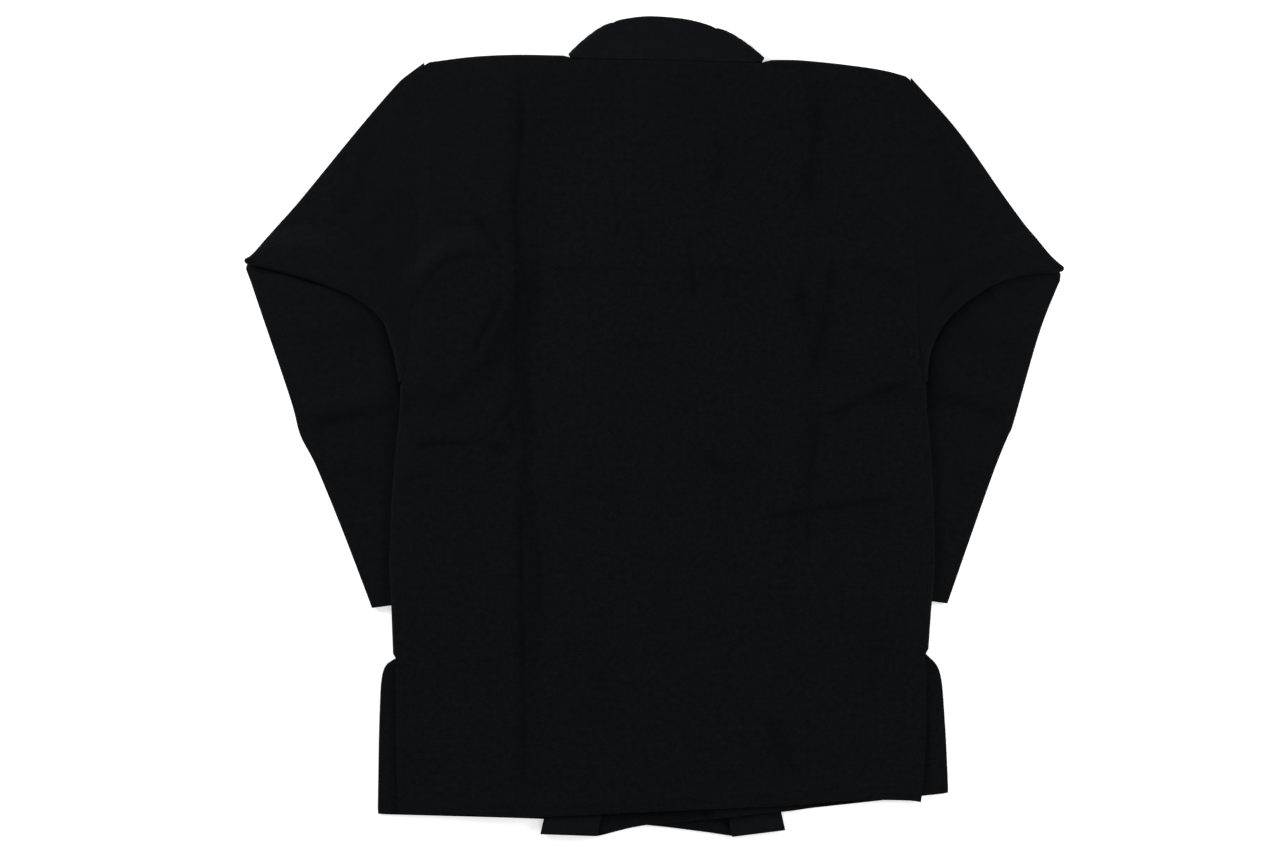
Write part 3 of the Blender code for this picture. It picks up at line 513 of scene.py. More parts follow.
def crease_rows(lines):
    """Close rows of mesh points along every crease of the back, clear of the lines given."""
    rows = []
    for crease in BACK_CREASES:
        path = smooth_path(crease.path, CREASE_STEP)
        normals = path_normals(path, 1)
        rows += [path + normals * offset for offset in CREASE_OFFSETS]
    rows = np.vstack(rows)
    clear = np.min([distance_to_path(rows, line) for line in lines], axis=0)
    rows = rows[clear > CREASE_STEP / 2]
    kept = []
    taken = set()
    for x, y in rows:
        cell = (int(x // 2), int(y // 2))
        if cell in taken:
            continue
        taken.add(cell)
        kept.append((x, y))
    return np.array(kept)


def painted_crease_shade(points, creases):
    """How far painted shade darkens the colour along each crease: a fine dark line in a softer,
    wider painted shadow.
    """
    marks = np.zeros(len(points))
    for crease in creases:
        path = smooth_path(crease.path, 6)
        gap = distance_to_path(points, path)
        lengths = np.concatenate([[0], np.cumsum(np.linalg.norm(np.diff(path, axis=0), axis=1))])
        nearest = np.argmin(np.linalg.norm(points[:, None, :] - path[None, :, :], axis=2), axis=1)
        along = lengths[nearest] / lengths[-1]
        fade = ease(np.minimum(along, 1 - along) / 0.16)
        strength = crease.rise / 1.6 * (0.15 + 0.85 * fade)
        uneven = np.array([0.75 + 0.5 * noise.noise(Vector((x / 30, y / 30, 2.0)))
                           for x, y in points[gap < 3 * crease.reach]])
        line = (np.exp(-(gap / (0.36 * crease.reach)) ** 2) * 0.68
                + np.exp(-(gap / (1.3 * crease.reach)) ** 2) * 0.32)
        line[gap < 3 * crease.reach] *= uneven
        marks = np.maximum(marks, line * strength)
    return np.clip(marks, 0, 1)


def plan_mesh():
    """One triangulation of the whole plan, which every panel shares where they overlap."""
    lines = [np.vstack([outline, outline[:1]])
             for outline in (back_outline, front_left_outline, front_right_outline)]
    points, edges = [], []
    for line in lines:
        first = len(points)
        points.extend(line)
        edges.extend((first + i, first + i + 1) for i in range(len(line) - 1))
    at_creases = crease_rows(lines)
    points.extend(at_creases)
    low = np.min([line.min(axis=0) for line in lines], axis=0)
    high = np.max([line.max(axis=0) for line in lines], axis=0)
    row_step = MESH_STEP * math.sqrt(3) / 2
    rows = np.arange(low[1], high[1], row_step)
    grid = np.array([(x + (row % 2) * MESH_STEP / 2, y) for row, y in enumerate(rows)
                     for x in np.arange(low[0], high[0], MESH_STEP)])
    clear = np.min([distance_to_path(grid, line) for line in lines], axis=0)
    grid = grid[clear > 0.42 * MESH_STEP]
    points.extend(grid[apart(grid, at_creases, 0.6 * CREASE_STEP)])
    coords, _, faces, *_ = delaunay_2d_cdt([Vector(p) for p in points], edges, [], 0, 0.05)
    return np.array([tuple(c) for c in coords]), np.array(faces)


def ordered_loop(faces):
    """The boundary of a set of triangles as one loop of point numbers, anticlockwise."""
    directed = {(f[i], f[(i + 1) % 3]) for f in faces for i in range(3)}
    following = {a: b for a, b in directed if (b, a) not in directed}
    loop = [min(following)]
    while following[loop[-1]] != loop[0]:
        loop.append(following[loop[-1]])
    if len(loop) != len(following):
        raise ValueError("a panel's edge isn't one loop")
    return loop


def on_paths(points, paths):
    """Whether each point lies on any of the paths."""
    return np.min([distance_to_path(points, path) for path in paths], axis=0) < 0.2


def edge_normals(outline, seams):
    """Outward unit vectors at a loop's points, along the seam where an edge leaves a seam."""
    ahead = np.roll(outline, -1, axis=0) - outline
    ahead /= np.linalg.norm(ahead, axis=1)[:, None]
    outward = np.column_stack([ahead[:, 1], -ahead[:, 0]])
    middle = (outline + np.roll(outline, -1, axis=0)) / 2
    seam_after = on_paths(middle, seams)
    seam_before = np.roll(seam_after, 1)
    behind = np.roll(ahead, 1, axis=0)
    total = outward + np.roll(outward, 1, axis=0)
    total /= np.linalg.norm(total, axis=1)[:, None]
    turns = (ahead * behind).sum(axis=1) < 0.7
    leaving = seam_before & ~seam_after & turns
    joining = seam_after & ~seam_before & turns
    total[leaving] = behind[leaving]
    total[joining] = -ahead[joining]
    free = leaving | joining | (~seam_before & ~seam_after)
    return total, free


def plain_edge(bulge, top, bottom, count):
    """A round edge from a wall's top to its bottom: outward offsets and heights."""
    angles = np.pi / 2 - np.pi * np.arange(1, count + 1) / (count + 1)
    out = bulge[:, None] * np.cos(angles)
    middle = ((top + bottom) / 2)[:, None]
    half = ((top - bottom) / 2)[:, None]
    return out, middle + half * np.sin(angles)


def rolled_edge(top, bottom, rim, count):
    """A wall that rolls out and down to a rim: outward offsets and heights."""
    angles = np.radians(np.linspace(0, 90, count // 2 + 1)[1:])
    back = angles[::-1]
    drop_out = (top - rim)[:, None]
    drop_in = (bottom - rim)[:, None]
    ones = np.ones_like(drop_out)
    out = np.hstack([LIP * np.sin(angles) * ones, (LIP - CLOTH) * np.sin(back) * ones])
    outer = top[:, None] - drop_out * (1 - np.cos(angles))
    inner = bottom[:, None] - drop_in * (1 - np.cos(back))
    return out, np.hstack([outer, inner])


def roll_share(points, rolls):
    """1 where an edge rolls over fully, easing to 0 at the ends of the rolled stretch."""
    share = np.zeros(len(points))
    for line in rolls:
        near = distance_to_path(points, line) < 0.2
        from_start = np.linalg.norm(points - line[0], axis=1)
        from_end = np.linalg.norm(points - line[-1], axis=1)
        part = ease(np.minimum(from_start, from_end) / ROLL_START)
        share = np.maximum(share, np.where(near, part, 0.0))
    for corner in (NECK_LEFT, NECK_RIGHT):
        at_corner = np.linalg.norm(points - vectors(corner), axis=1) < 0.3
        share = np.where(at_corner, NECK_ROLL, share)
    return share


def panel(name, node, plan, outline, underside, relief, seams, bulge, material, rolls=(),
          creases=()):
    """A cloth wall over the part of the plan inside an outline, with finished edges."""
    coords, faces = plan
    centres = coords[faces].mean(axis=1)
    faces = faces[is_inside(centres, outline)]
    used = np.unique(faces)
    number = {old: new for new, old in enumerate(used)}
    points = coords[used]
    faces = [[number[v] for v in face] for face in faces]
    loop = ordered_loop(faces)
    bottom = underside(points)
    top = bottom + CLOTH + relief(points)
    rows = [np.column_stack([points, top]), np.column_stack([points, bottom])]
    count = len(points)
    steps = 8
    edge = points[loop]
    outward, free = edge_normals(edge, seams)
    out, height = plain_edge(np.where(free, bulge, 0.0), top[loop], bottom[loop], steps)
    if rolls:
        rim = lift(edge) + LIP_CLEARANCE
        roll_out, roll_height = rolled_edge(top[loop], bottom[loop], rim, steps)
        share = roll_share(edge, rolls)[:, None]
        out = out * (1 - share) + roll_out * share
        height = height * (1 - share) + roll_height * share
    for step in range(steps):
        flat = edge + outward * out[:, step][:, None]
        rows.append(np.column_stack([flat, height[:, step]]))
    vertices = np.vstack(rows)
    triangles = [tuple(face) for face in faces]
    triangles += [tuple(v + count for v in reversed(face)) for face in faces]
    rings = [loop] + [[2 * count + step * len(loop) + i for i in range(len(loop))]
                      for step in range(steps)] + [[v + count for v in loop]]
    for upper, lower in zip(rings[:-1], rings[1:]):
        for i in range(len(loop)):
            j = (i + 1) % len(loop)
            triangles.append((upper[j], upper[i], lower[i], lower[j]))
    # Painted shade along the creases, on the top face's points only.
    painted_shade = np.zeros(len(vertices))
    if creases:
        painted_shade[:count] = painted_crease_shade(points, creases)
    return make_piece(name, node, vertices, triangles, vertices[:, :2], material, painted_shade=painted_shade)


def coons(start, end, side_first, side_last, rows):
    """Rows of points between two paths, whose ends follow two side paths."""
    first = resample(np.vstack([start[:1], side_first[1:-1], end[:1]]), count=rows)
    last = resample(np.vstack([start[-1:], side_last[1:-1], end[-1:]]), count=rows)
    u = np.linspace(0, 1, len(start))[:, None]
    result = []
    for row in range(rows + 1):
        v = row / rows
        across = (1 - u) * first[row] + u * last[row]
        along = (1 - v) * start + v * end
        corners = ((1 - u) * ((1 - v) * start[0] + v * end[0])
                   + u * ((1 - v) * start[-1] + v * end[-1]))
        result.append(across + along - corners)
    return result


def tube_ring(line, height, normals, half, reach, bump):
    """One section of a flat sleeve: both walls and the two round edges, as a closed loop."""
    line3 = np.column_stack([line, height])
    first = line3[1] - line3[0]
    first /= np.linalg.norm(first)
    last = line3[-1] - line3[-2]
    last /= np.linalg.norm(last)
    core = line3.copy()
    core[0] += first * TUBE_EDGE
    core[-1] -= last * TUBE_EDGE
    angles = np.radians([60, 30, 0, -30, -60])
    top = core + normals * half
    top[:, 2] += bump
    ring = list(top)
    ring += [core[-1] + last * reach * math.cos(a) + normals[-1] * half * math.sin(a)
             for a in angles]
    ring += list((core - normals * half)[::-1])
    ring += [core[0] - first * reach * math.cos(a) - normals[0] * half * math.sin(a)
             for a in angles]
    return ring


def turn(axis, away, axis_height, start_normal, sign):
    """Sections round a fold: the sleeve turns under itself about a line at axis_height."""
    sections = []
    for degrees in FOLD_ANGLES:
        angle = math.radians(degrees)
        line = axis + away * FOLD_RADIUS * math.sin(angle)
        height = np.full(len(axis), axis_height + FOLD_RADIUS * math.cos(angle))
        outward = np.column_stack([away, np.zeros(len(away))])
        normals = start_normal * math.cos(angle) + sign * outward * math.sin(angle)
        flat = np.zeros(len(axis))
        sections.append((line, height, normals, flat, flat))
    return sections


def edge_fade(count):
    """0 at a sleeve's two long edges and 1 between them."""
    u = np.linspace(0, 1, count)
    return ease(np.minimum(u, 1 - u) / 0.12)


def sleeve_sections(sleeve):
    """The middle line, height, normals, bumps and painted crease shade of each section, from
    armhole to cuff.
    """
    flip = -sleeve.side
    armhole = resample(smooth_path(sleeve.armhole, 3), count=SLEEVE_COLUMNS)
    armhole = armhole + np.array([sleeve.side * SEAM_GAP, 0])
    armhole[0] += np.array([sleeve.side * SEAM_GAP, -2.0])
    armhole[-1] = vectors(sleeve.top_edge[0]) + np.array([sleeve.side * SEAM_GAP, 0])
    visible = resample(smooth_path(sleeve.visible_fold, 3), count=SLEEVE_COLUMNS)
    hidden = resample(smooth_path(sleeve.hidden_fold, 3), count=SLEEVE_COLUMNS)
    cuff = resample(sleeve.cuff, count=SLEEVE_COLUMNS)
    away_low = path_normals(visible, flip)
    away_high = path_normals(hidden, -flip)
    low_axis = visible - away_low * FOLD_REACH
    high_axis = hidden - away_high * FOLD_REACH
    upward = np.tile([0.0, 0.0, 1.0], (SLEEVE_COLUMNS + 1, 1))
    pleat_height = TUBE_HALF + TUBE_STEP
    fade = edge_fade(SLEEVE_COLUMNS + 1)
    sections = []
    upper = coons(armhole, low_axis, np.vstack([armhole[0], low_axis[0]]),
                  smooth_path(sleeve.top_edge, 3), SLEEVE_ROWS["upper"])
    for row, line in enumerate(upper):
        along = row / SLEEVE_ROWS["upper"]
        ends = min(1.0, along / 0.12, (1 - along) / 0.05)
        bump = crease_relief(line, SLEEVE_CREASES["upper"]) + softness(line, 40, 1.1, 5.0)
        # Painted shade along the upper sleeve's creases.
        marks = painted_crease_shade(line, SLEEVE_CREASES["upper"])
        sections.append((line, TUBE_HALF + lift(line), upward, bump * fade * ends, marks))
    sections += turn(low_axis, away_low, pleat_height + FOLD_RADIUS, upward, 1)
    for line in coons(low_axis, high_axis, smooth_path(sleeve.pleat_edge, 3),
                      np.vstack([low_axis[-1], high_axis[-1]]), SLEEVE_ROWS["pleat"]):
        flat = np.zeros(len(line))
        sections.append((line, np.full(len(line), pleat_height), -upward, flat, flat))
    sections += turn(high_axis, away_high, TUBE_HALF + FOLD_RADIUS, -upward, -1)
    for line in coons(high_axis, cuff, smooth_path(sleeve.inner_edge, 3),
                      smooth_path(sleeve.outer_edge, 3), SLEEVE_ROWS["forearm"]):
        shows = forearm_shows(line, sleeve)
        bump = crease_relief(line, SLEEVE_CREASES["forearm"]) + softness(line, 38, 0.9, 7.0)
        bump = bump * fade * shows + FOLD_LEAN * fade * beside_fold(line, sleeve)
        # Painted shade along the forearm's creases, only where the forearm shows.
        marks = painted_crease_shade(line, SLEEVE_CREASES["forearm"]) * shows
        sections.append((line, np.full(len(line), TUBE_HALF), upward, bump, marks))
    return sections


def forearm_shows(points, sleeve):
    """1 where the forearm lies clear of the body and of the pleat above it."""
    side = LEFT_SIDE if sleeve.side < 0 else RIGHT_SIDE
    side = vectors(side)[::-1]
    side_x = np.interp(points[:, 1], side[:, 1], side[:, 0])
    beside = ease((sleeve.side * (points[:, 0] - side_x) - 4) / 12)
    fold = smooth_path(sleeve.visible_fold, 8)
    gap = distance_to_path(points, fold)
    under = is_inside(points, pleat_outline(sleeve))
    return beside * np.where(under, 0.0, ease((gap - 4) / 12))


def beside_fold(points, sleeve):
    """1 just outside the elbow's fold line, easing to 0 away from it and under it."""
    fold = smooth_path(sleeve.visible_fold, 6)
    gap = distance_to_path(points, fold, signed=True) * -sleeve.side
    outside = np.exp(-(np.maximum(gap, 0) / 24) ** 2)
    return outside * ease((gap + 2) / 4.5)


def sleeve_piece(name, node, sleeve, material):
    """A sleeve as one tube of cloth from the armhole to the open cuff."""
    outer, inner, painted_shade = [], [], []
    for line, height, normals, bump, marks in sleeve_sections(sleeve):
        outer.append(tube_ring(line, height, normals, TUBE_HALF, TUBE_EDGE, bump))
        inner.append(tube_ring(line, height, normals, TUBE_HOLLOW, TUBE_EDGE - CLOTH, bump))
        # Painted crease shade goes on the first points of each outer ring, its top wall; the rest
        # of the ring and the inner wall get none.
        painted_shade.append(np.concatenate([marks, np.zeros(len(outer[0]) - len(marks))]))
    size = len(outer[0])
    painted_shade = np.concatenate(painted_shade + [np.zeros(size)] * len(inner))
    rings = np.array(outer + inner[::-1])
    round_it = np.cumsum(np.linalg.norm(rings - np.roll(rings, 1, axis=1), axis=2), axis=1)
    along = np.linalg.norm(np.diff(rings, axis=0), axis=2).mean(axis=1)
    along = np.concatenate([[0], np.cumsum(along)])
    faces, weave = [], []
    for row in range(len(rings)):
        after = (row + 1) % len(rings)
        for i in range(size):
            j = (i + 1) % size
            face = [row * size + i, row * size + j, after * size + j, after * size + i]
            start = round_it[row][i]
            end = round_it[row][j] if j else start + 1.5
            spot = [(start, along[row]), (end, along[row]),
                    (end, along[row] + 5), (start, along[row] + 5)]
            if row + 1 < len(rings):
                spot[2] = (end, along[row + 1])
                spot[3] = (start, along[row + 1])
            faces.append(face if sleeve.side < 0 else face[::-1])
            weave.append(spot if sleeve.side < 0 else spot[::-1])
    return make_piece(name, node, rings.reshape(-1, 3), faces, None, material, corners=weave,
                      painted_shade=painted_shade)


def band_profile(width, thickness):
    """Places round the band's section: across it and up from its outer face."""
    places = []
    count = 21
    edge = BAND_EDGE
    for u in np.linspace(SEAM_EDGE, width - edge, count):
        places.append((u, 0.0))
    for degrees in (-60, -30, 0, 30, 60):
        a = math.radians(degrees)
        places.append((width - edge + edge * math.cos(a),
                       thickness / 2 + thickness / 2 * math.sin(a)))
    for u in np.linspace(width - edge, SEAM_EDGE, count):
        places.append((u, thickness))
    for degrees in (60, 30, 0, -30, -60):
        a = math.radians(degrees)
        places.append((SEAM_EDGE * (1 - math.cos(a)),
                       thickness / 2 + thickness / 2 * math.sin(a)))
    return places


def channel(share):
    """How far the band's face sinks at each row of stitches across its width."""
    if not 0.05 < share < 0.95:
        return 0.0
    rows = (share * BAND_ROWS) % 1.0
    return 0.35 * math.exp(-((min(rows, 1 - rows) / 0.13) ** 2))


def band_ring(seam, free, height, outer_down):
    """A section of the band lying flat, its outer face down in front and up at the neck."""
    seam, free = vectors(seam), vectors(free)
    across = free - seam
    width = np.linalg.norm(across)
    across /= width
    profile = band_profile(width, BAND)
    flat = np.array([seam + across * u for u, _ in profile])
    base = height(flat)
    ring = []
    for (u, up), spot, low in zip(profile, flat, base):
        sink = channel((u - BAND_EDGE) / (width - 2 * BAND_EDGE)) if up < 0.01 else 0.0
        up = up if outer_down else BAND - up - sink
        ring.append((*spot, low + up))
    return ring


def band_turn(turn_line, outward, degrees):
    """A section of the band where it rolls over, bulging more at its middle than at its edges."""
    seam, free = vectors(turn_line[0]), vectors(turn_line[1])
    across = free - seam
    width = np.linalg.norm(across)
    across /= width
    reach = BAND + BAND_FOLD
    angle = math.radians(degrees)
    ring = []
    for u, up in band_profile(width, BAND):
        bulge = np.interp(u / width, TURN_SHARES, TURN_BULGES)
        sink = channel((u - BAND_EDGE) / (width - 2 * BAND_EDGE)) if up < 0.01 else 0.0
        radius = reach - up - sink * ease(degrees / 60)
        flat = seam + across * u + outward * math.sin(angle) * radius * bulge
        ring.append((*flat, reach - math.cos(angle) * radius))
    return ring


def turn_outward(turn_line, side):
    """The direction in which a turn's rolled edge faces."""
    across = vectors(turn_line[1]) - vectors(turn_line[0])
    across /= np.linalg.norm(across)
    return side * np.array([across[1], -across[0]])


def on_table(points):
    """Height of the table."""
    return np.zeros(len(points))


def over_turned_band(points):
    """Height of the band's upper layer where it is doubled round the neck."""
    return np.full(len(points), BAND + 2 * BAND_FOLD)


def collar_sections():
    """All the sections of the collar band, from the left lapel's hem to the right one's."""
    rows = int(LAPEL_LENGTH / BAND_STEP)
    seam = resample(LAPEL_LEFT_SEAM + [COLLAR_LEFT_TURN[0]], count=rows)
    free = resample(LAPEL_LEFT_FREE + [COLLAR_LEFT_TURN[1]], count=rows)
    rings = [band_ring(s, f, on_table, True) for s, f in zip(seam, free)]
    outward = turn_outward(COLLAR_LEFT_TURN, -1)
    rings += [band_turn(COLLAR_LEFT_TURN, outward, degrees) for degrees in TURN_ANGLES]
    seam = resample(smooth_path(COLLAR_SEAM, 3), count=NECK_ROWS)
    free = resample(smooth_path(COLLAR_FREE_EDGE, 3), count=NECK_ROWS)
    rings += [band_ring(s, f, over_turned_band, False) for s, f in zip(seam, free)]
    outward = turn_outward(COLLAR_RIGHT_TURN, 1)
    rings += [band_turn(COLLAR_RIGHT_TURN, outward, degrees) for degrees in TURN_ANGLES[::-1]]
    seam = resample(LAPEL_RIGHT_SEAM + [COLLAR_RIGHT_TURN[0]], count=rows)[::-1]
    free = resample(LAPEL_RIGHT_FREE + [COLLAR_RIGHT_TURN[1]], count=rows)[::-1]
    rings += [band_ring(s, f, over_left_front, True) for s, f in zip(seam, free)]
    return rings


def collar_piece(name, node, material):
    """The collar and both lapels as one stuffed band."""
    rings = np.array(collar_sections())
    size = rings.shape[1]
    round_it = np.cumsum(np.linalg.norm(rings - np.roll(rings, 1, axis=1), axis=2), axis=1)
    along = np.concatenate([[0], np.cumsum(np.linalg.norm(
        np.diff(rings.mean(axis=1), axis=0), axis=1))])
    faces, weave = [], []
    for row in range(len(rings) - 1):
        for i in range(size):
            j = (i + 1) % size
            start = round_it[row][i]
            end = round_it[row][j] if j else start + 1.2
            faces.append((row * size + j, row * size + i, (row + 1) * size + i,
                          (row + 1) * size + j))
            weave.append([(end, along[row]), (start, along[row]),
                          (start, along[row + 1]), (end, along[row + 1])])
    last = (len(rings) - 1) * size
    for cap in (list(range(size)), [last + i for i in reversed(range(size))]):
        faces.append(tuple(cap))
        weave.append([tuple(rings.reshape(-1, 3)[v][[0, 2]]) for v in cap])
    return make_piece(name, node, rings.reshape(-1, 3), faces, None, material, corners=weave)


def node_tree(material):
    """A fresh Principled shader and the material's nodes and links."""
    material.use_nodes = True
    nodes, links = material.node_tree.nodes, material.node_tree.links
    return nodes, links, nodes["Principled BSDF"]


def maths(nodes, links, operation, first, second=None):
    """A Math node fed by sockets or numbers."""
    node = nodes.new("ShaderNodeMath")
    node.operation = operation
    for index, value in enumerate((first, second)):
        if value is None:
            continue
        if isinstance(value, (int, float)):
            node.inputs[index].default_value = value
        else:
            links.new(value, node.inputs[index])
    return node.outputs[0]


def cotton(name, dark, light, pebble, pebble_height, roughness):
    """Matte black cotton: a staggered weave of small pebbles, uneven dye, a little lint and painted
    shade along the creases.
    """
    material = bpy.data.materials.new(name)
    nodes, links, shader = node_tree(material)
    place = nodes.new("ShaderNodeUVMap")
    place.uv_map = "weave"
    stretch = nodes.new("ShaderNodeMapping")
    stretch.inputs["Scale"].default_value = (1 / pebble[0], 1 / pebble[1], 1.0)
    links.new(place.outputs["UV"], stretch.inputs["Vector"])
    split = nodes.new("ShaderNodeSeparateXYZ")
    links.new(stretch.outputs["Vector"], split.inputs[0])
    stagger = maths(nodes, links, "MULTIPLY", split.outputs["Y"], 0.5)
    shifted = maths(nodes, links, "ADD", split.outputs["X"], stagger)
    grain = nodes.new("ShaderNodeCombineXYZ")
    links.new(shifted, grain.inputs["X"])
    links.new(split.outputs["Y"], grain.inputs["Y"])
    cells = nodes.new("ShaderNodeTexVoronoi")
    cells.voronoi_dimensions = "2D"
    cells.feature = "F1"
    cells.inputs["Scale"].default_value = 1.0
    cells.inputs["Randomness"].default_value = 0.28
    links.new(grain.outputs[0], cells.inputs["Vector"])
    fuzz = nodes.new("ShaderNodeTexNoise")
    fuzz.inputs["Scale"].default_value = 900.0
    fuzz.inputs["Detail"].default_value = 3.0
    links.new(place.outputs["UV"], fuzz.inputs["Vector"])
    grains = maths(nodes, links, "SUBTRACT", 1.0, cells.outputs["Distance"])
    height = maths(nodes, links, "ADD", grains,
                   maths(nodes, links, "MULTIPLY", fuzz.outputs["Fac"], 0.35))
    bump = nodes.new("ShaderNodeBump")
    bump.inputs["Distance"].default_value = pebble_height
    bump.inputs["Strength"].default_value = 0.8
    links.new(height, bump.inputs["Height"])
    links.new(bump.outputs["Normal"], shader.inputs["Normal"])
    dye = nodes.new("ShaderNodeTexNoise")
    dye.inputs["Scale"].default_value = 170.0
    dye.inputs["Detail"].default_value = 6.0
    dye.inputs["Roughness"].default_value = 0.6
    links.new(place.outputs["UV"], dye.inputs["Vector"])
    shade = maths(nodes, links, "ADD",
                  maths(nodes, links, "MULTIPLY", grains, 0.75),
                  maths(nodes, links, "MULTIPLY", dye.outputs["Fac"], 1.3))
    shade = maths(nodes, links, "SUBTRACT", shade, 0.75)
    colours = nodes.new("ShaderNodeMix")
    colours.data_type = "RGBA"
    colours.inputs["A"].default_value = (*dark, 1.0)
    colours.inputs["B"].default_value = (*light, 1.0)
    links.new(shade, colours.inputs["Factor"])
    lint = nodes.new("ShaderNodeTexNoise")
    lint.inputs["Scale"].default_value = 620.0
    lint.inputs["Detail"].default_value = 1.0
    links.new(place.outputs["UV"], lint.inputs["Vector"])
    specks = nodes.new("ShaderNodeMapRange")
    specks.inputs["From Min"].default_value = 0.83
    specks.inputs["From Max"].default_value = 0.87
    links.new(lint.outputs["Fac"], specks.inputs["Value"])
    dusty = nodes.new("ShaderNodeMix")
    dusty.data_type = "RGBA"
    dusty.inputs["B"].default_value = (0.05, 0.05, 0.052, 1.0)
    links.new(specks.outputs["Result"], dusty.inputs["Factor"])
    links.new(colours.outputs["Result"], dusty.inputs["A"])
    # Painted shade along the creases: the per-point shade attribute mixes the colour up to 62%
    # towards three tenths of the dark tone.
    marks = nodes.new("ShaderNodeAttribute")
    marks.attribute_name = "painted_shade"
    at_creases = nodes.new("ShaderNodeMix")
    at_creases.data_type = "RGBA"
    at_creases.inputs["B"].default_value = (*(0.3 * part for part in dark), 1.0)
    links.new(maths(nodes, links, "MULTIPLY", marks.outputs["Fac"], 0.62),
              at_creases.inputs["Factor"])
    links.new(dusty.outputs["Result"], at_creases.inputs["A"])
    links.new(at_creases.outputs["Result"], shader.inputs["Base Color"])
    rough = nodes.new("ShaderNodeMapRange")
    rough.inputs["To Min"].default_value = roughness
    rough.inputs["To Max"].default_value = min(1.0, roughness + 0.12)
    links.new(dye.outputs["Fac"], rough.inputs["Value"])
    links.new(rough.outputs["Result"], shader.inputs["Roughness"])
    shader.inputs["Specular IOR Level"].default_value = 0.05
    shader.inputs["Sheen Weight"].default_value = 0.004
    shader.inputs["Sheen Roughness"].default_value = 0.45
    shader.inputs["Metallic"].default_value = 0.0
    return material


def make_piece(name, node, vertices, faces, flat_weave, material, corners=None, painted_shade=None):
    """A visible piece from millimetres: it rides on the jacket and replaces its solid."""
    mesh = bpy.data.meshes.new(name)
    centred = (np.asarray(vertices) - np.array([*CENTRE, 0.0])) * MM
    mesh.from_pydata(centred.tolist(), [], [tuple(int(v) for v in face) for face in faces])
    layer = mesh.uv_layers.new(name="weave")
    if corners is None:
        index = np.empty(len(mesh.loops), dtype=np.int64)
        mesh.loops.foreach_get("vertex_index", index)
        places = np.asarray(flat_weave)[index] * MM
    else:
        places = np.array([spot for face in corners for spot in face]) * MM
    layer.uv.foreach_set("vector", places.astype(np.float32).ravel())
    # The painted crease shade, kept as a point attribute for the material.
    if painted_shade is not None:
        marks = mesh.attributes.new("painted_shade", "FLOAT", "POINT")
        marks.data.foreach_set("value", painted_shade.astype(np.float32))
    mesh.shade_smooth()
    mesh.set_sharp_from_angle(angle=math.radians(42))
    mesh.materials.append(material)
    piece = bpy.data.objects.new(name, mesh)
    bpy.context.scene.collection.objects.link(piece)
    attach(piece, "root")
    if node is not None:
        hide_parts(node)
    return piece


def stitch_rows(name, rows, material):
    """Rows of sewn stitches as one piece: each row is a path and the height of the cloth."""
    vertices, faces = [], []
    for path, height in rows:
        spots = resample(path, step=STITCH_PITCH)
        middle = (spots[:-1] + spots[1:]) / 2
        along = np.diff(spots, axis=0)
        along /= np.linalg.norm(along, axis=1)[:, None]
        half = STITCH_LENGTH / 2
        start_height = height(middle - along * half)
        end_height = height(middle + along * half)
        for spot, ahead, low, high in zip(middle, along, start_height, end_height):
            side = np.array([-ahead[1], ahead[0]])
            first = len(vertices)
            for place, scale in ((-1.0, 0.35), (-0.6, 1.0), (0.6, 1.0), (1.0, 0.35)):
                level = low + (high - low) * (place + 1) / 2
                base = spot + ahead * half * place
                for degrees in (0, 60, 120, 180, 240, 300):
                    a = math.radians(degrees)
                    flat = base + side * STITCH_HALF * scale * math.cos(a)
                    vertices.append((*flat, level - STITCH_SINK
                                     + STITCH_HALF * scale * math.sin(a)))
            for ring in range(3):
                for i in range(6):
                    j = (i + 1) % 6
                    a = first + ring * 6
                    faces.append((a + j, a + i, a + 6 + i, a + 6 + j))
            faces.append(tuple(first + i for i in range(6)))
            faces.append(tuple(first + 18 + i for i in reversed(range(6))))
    piece = make_piece(name, None, vertices, faces, np.array(vertices)[:, :2], material)
    return piece


def beside(path, side, distance, trim=0.0):
    """A path moved sideways, with its ends trimmed."""
    path = smooth_path(path, 3)
    moved = path + path_normals(path, side) * distance
    if trim:
        keep = int(round(trim / 3))
        moved = moved[keep:-keep]
    return moved


def surface(underside, relief):
    """The height of a panel's upper face."""
    return lambda points: underside(points) + CLOTH + relief(points)


def sleeve_cut_area(sleeve):
    """Area of a sleeve's cloth all round the tube, from its middle sections."""
    total = 0.0
    sections = sleeve_sections(sleeve)
    for one, two in zip(sections[:-1], sections[1:]):
        a = np.column_stack([one[0], one[1]])
        b = np.column_stack([two[0], two[1]])
        across = a[1:] - a[:-1]
        ahead = (b - a)[1:]
        total += np.linalg.norm(np.cross(across, ahead), axis=1).sum()
    return 2 * total * MM * MM


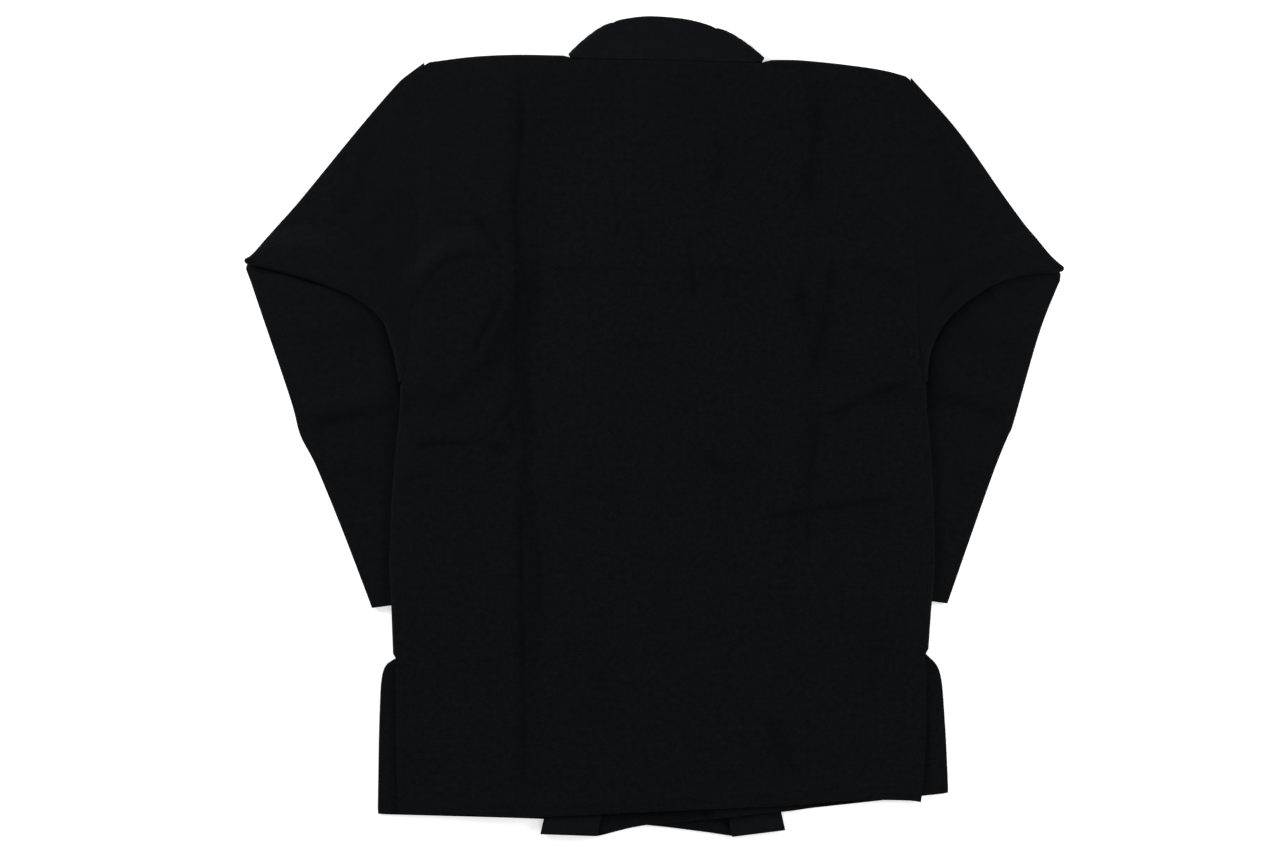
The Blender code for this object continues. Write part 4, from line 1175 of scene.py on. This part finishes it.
def floor_and_light():
    """A plain pale floor, a pale room and broad soft lamps."""
    mesh = bpy.data.meshes.new("floor")
    half = 6.0
    mesh.from_pydata([(-half, -half, 0), (half, -half, 0), (half, half, 0), (-half, half, 0)],
                     [], [(0, 1, 2, 3)])
    material = bpy.data.materials.new("pale_floor")
    _, _, shader = node_tree(material)
    shader.inputs["Base Color"].default_value = (0.90, 0.90, 0.90, 1.0)
    shader.inputs["Roughness"].default_value = 0.9
    shader.inputs["Specular IOR Level"].default_value = 0.1
    shader.inputs["Emission Color"].default_value = (1.0, 1.0, 1.0, 1.0)
    shader.inputs["Emission Strength"].default_value = 0.55
    mesh.materials.append(material)
    floor = bpy.data.objects.new("floor", mesh)
    floor.location.z = -0.0004
    bpy.context.scene.collection.objects.link(floor)
    world = bpy.data.worlds.new("pale_room")
    bpy.context.scene.world = world
    world.use_nodes = True
    background = world.node_tree.nodes["Background"]
    background.inputs["Color"].default_value = (1.0, 1.0, 1.0, 1.0)
    background.inputs["Strength"].default_value = 0.2
    lamps = (
        ("key", (-1.9, 1.0, 0.85), 0.8, 50.0),
        ("fill", (1.95, 0.3, 0.9), 0.8, 32.0),
        ("low", (0.2, -2.0, 0.9), 0.8, 12.0),
    )
    for name, place, size, power in lamps:
        lamp = bpy.data.lights.new(name, "AREA")
        lamp.shape = "SQUARE"
        lamp.size = size
        lamp.energy = power
        item = bpy.data.objects.new(name, lamp)
        item.location = place
        item.rotation_euler = (-Vector(place)).to_track_quat("-Z", "Y").to_euler()
        bpy.context.scene.collection.objects.link(item)


def camera():
    """Straight down on the jacket, framed as in the photograph."""
    view_width = 1.344
    middle_x, middle_y = -0.01485, 0.00055
    lens = bpy.data.cameras.new("camera")
    lens.lens = 85.0
    lens.sensor_width = 36.0
    lens.clip_end = 50.0
    item = bpy.data.objects.new("camera", lens)
    item.location = (middle_x, middle_y, view_width * lens.lens / lens.sensor_width + 0.006)
    bpy.context.scene.collection.objects.link(item)
    bpy.context.scene.camera = item


def main():
    camera()
    floor_and_light()
    bpy.context.scene.view_settings.view_transform = "Standard"
    weave = cotton("pearl_weave", (0.0022, 0.0025, 0.0030), (0.0066, 0.0073, 0.0088),
                   (0.0025, 0.0017), 0.0006, 0.86)
    ribbed = cotton("collar_cotton", (0.0030, 0.0034, 0.0043), (0.0076, 0.0086, 0.0108),
                    (0.0011, 0.0030), 0.0004, 0.82)
    thread = cotton("black_thread", (0.004, 0.0043, 0.005), (0.010, 0.0107, 0.012),
                    (0.0006, 0.0006), 0.0001, 0.7)
    plan = plan_mesh()
    armholes = [left_armhole, right_armhole]
    back = panel("back_cloth", "back_panel", plan, back_outline, back_underside, back_relief,
                 armholes + [neck_seam], HEM_BULGE, weave,
                 rolls=(left_side, right_side, left_shoulder, right_shoulder),
                 creases=BACK_CREASES)
    front_left = panel("front_left_cloth", "front_left", plan, front_left_outline,
                       front_left_underside, front_left_relief,
                       armholes + [front_left_seam], TUCK_BULGE, weave)
    front_right = panel("front_right_cloth", "front_right", plan, front_right_outline,
                        front_right_underside, front_right_relief,
                        armholes + [front_right_seam], TUCK_BULGE, weave)
    sleeve_left = sleeve_piece("sleeve_left_cloth", "sleeve_left", LEFT, weave)
    sleeve_right = sleeve_piece("sleeve_right_cloth", "sleeve_right", RIGHT, weave)
    collar = collar_piece("collar_cloth", "collar_band", ribbed)

    back_top = surface(back_underside, back_relief)
    left_top = surface(front_left_underside, front_left_relief)
    right_top = surface(front_right_underside, front_right_relief)
    rows = []
    for distance in (16.0, 4.0):
        rows.append((beside(BACK_HEM, 1, distance, 18), back_top))
        rows.append((beside(BACK_LEFT_VENT, 1, distance, 18), back_top))
        rows.append((beside(BACK_RIGHT_VENT, 1, distance, 18), back_top))
    for distance in (3.0, 9.0):
        rows.append((beside(LEFT_ARMHOLE, -1, distance, 6), back_top))
        rows.append((beside(RIGHT_ARMHOLE, -1, distance, 6), back_top))
    rows.append((beside([NECK_LEFT, NECK_RIGHT], -1, 3.0, 6), back_top))
    back_stitches = stitch_rows("back_stitches", rows, thread)
    left_rows = [(beside(FRONT_LEFT_HEM, 1, 16.0, 18), left_top),
                 (beside(FRONT_LEFT_VENT, 1, 14.0, 18), left_top)]
    left_stitches = stitch_rows("front_left_stitches", left_rows, thread)
    right_rows = [(beside(FRONT_RIGHT_HEM, 1, 16.0, 18), right_top),
                  (beside(FRONT_RIGHT_VENT, 1, 14.0, 18), right_top)]
    right_stitches = stitch_rows("front_right_stitches", right_rows, thread)

    sleeve_cut_area(LEFT)
    sleeve_cut_area(RIGHT)


main()
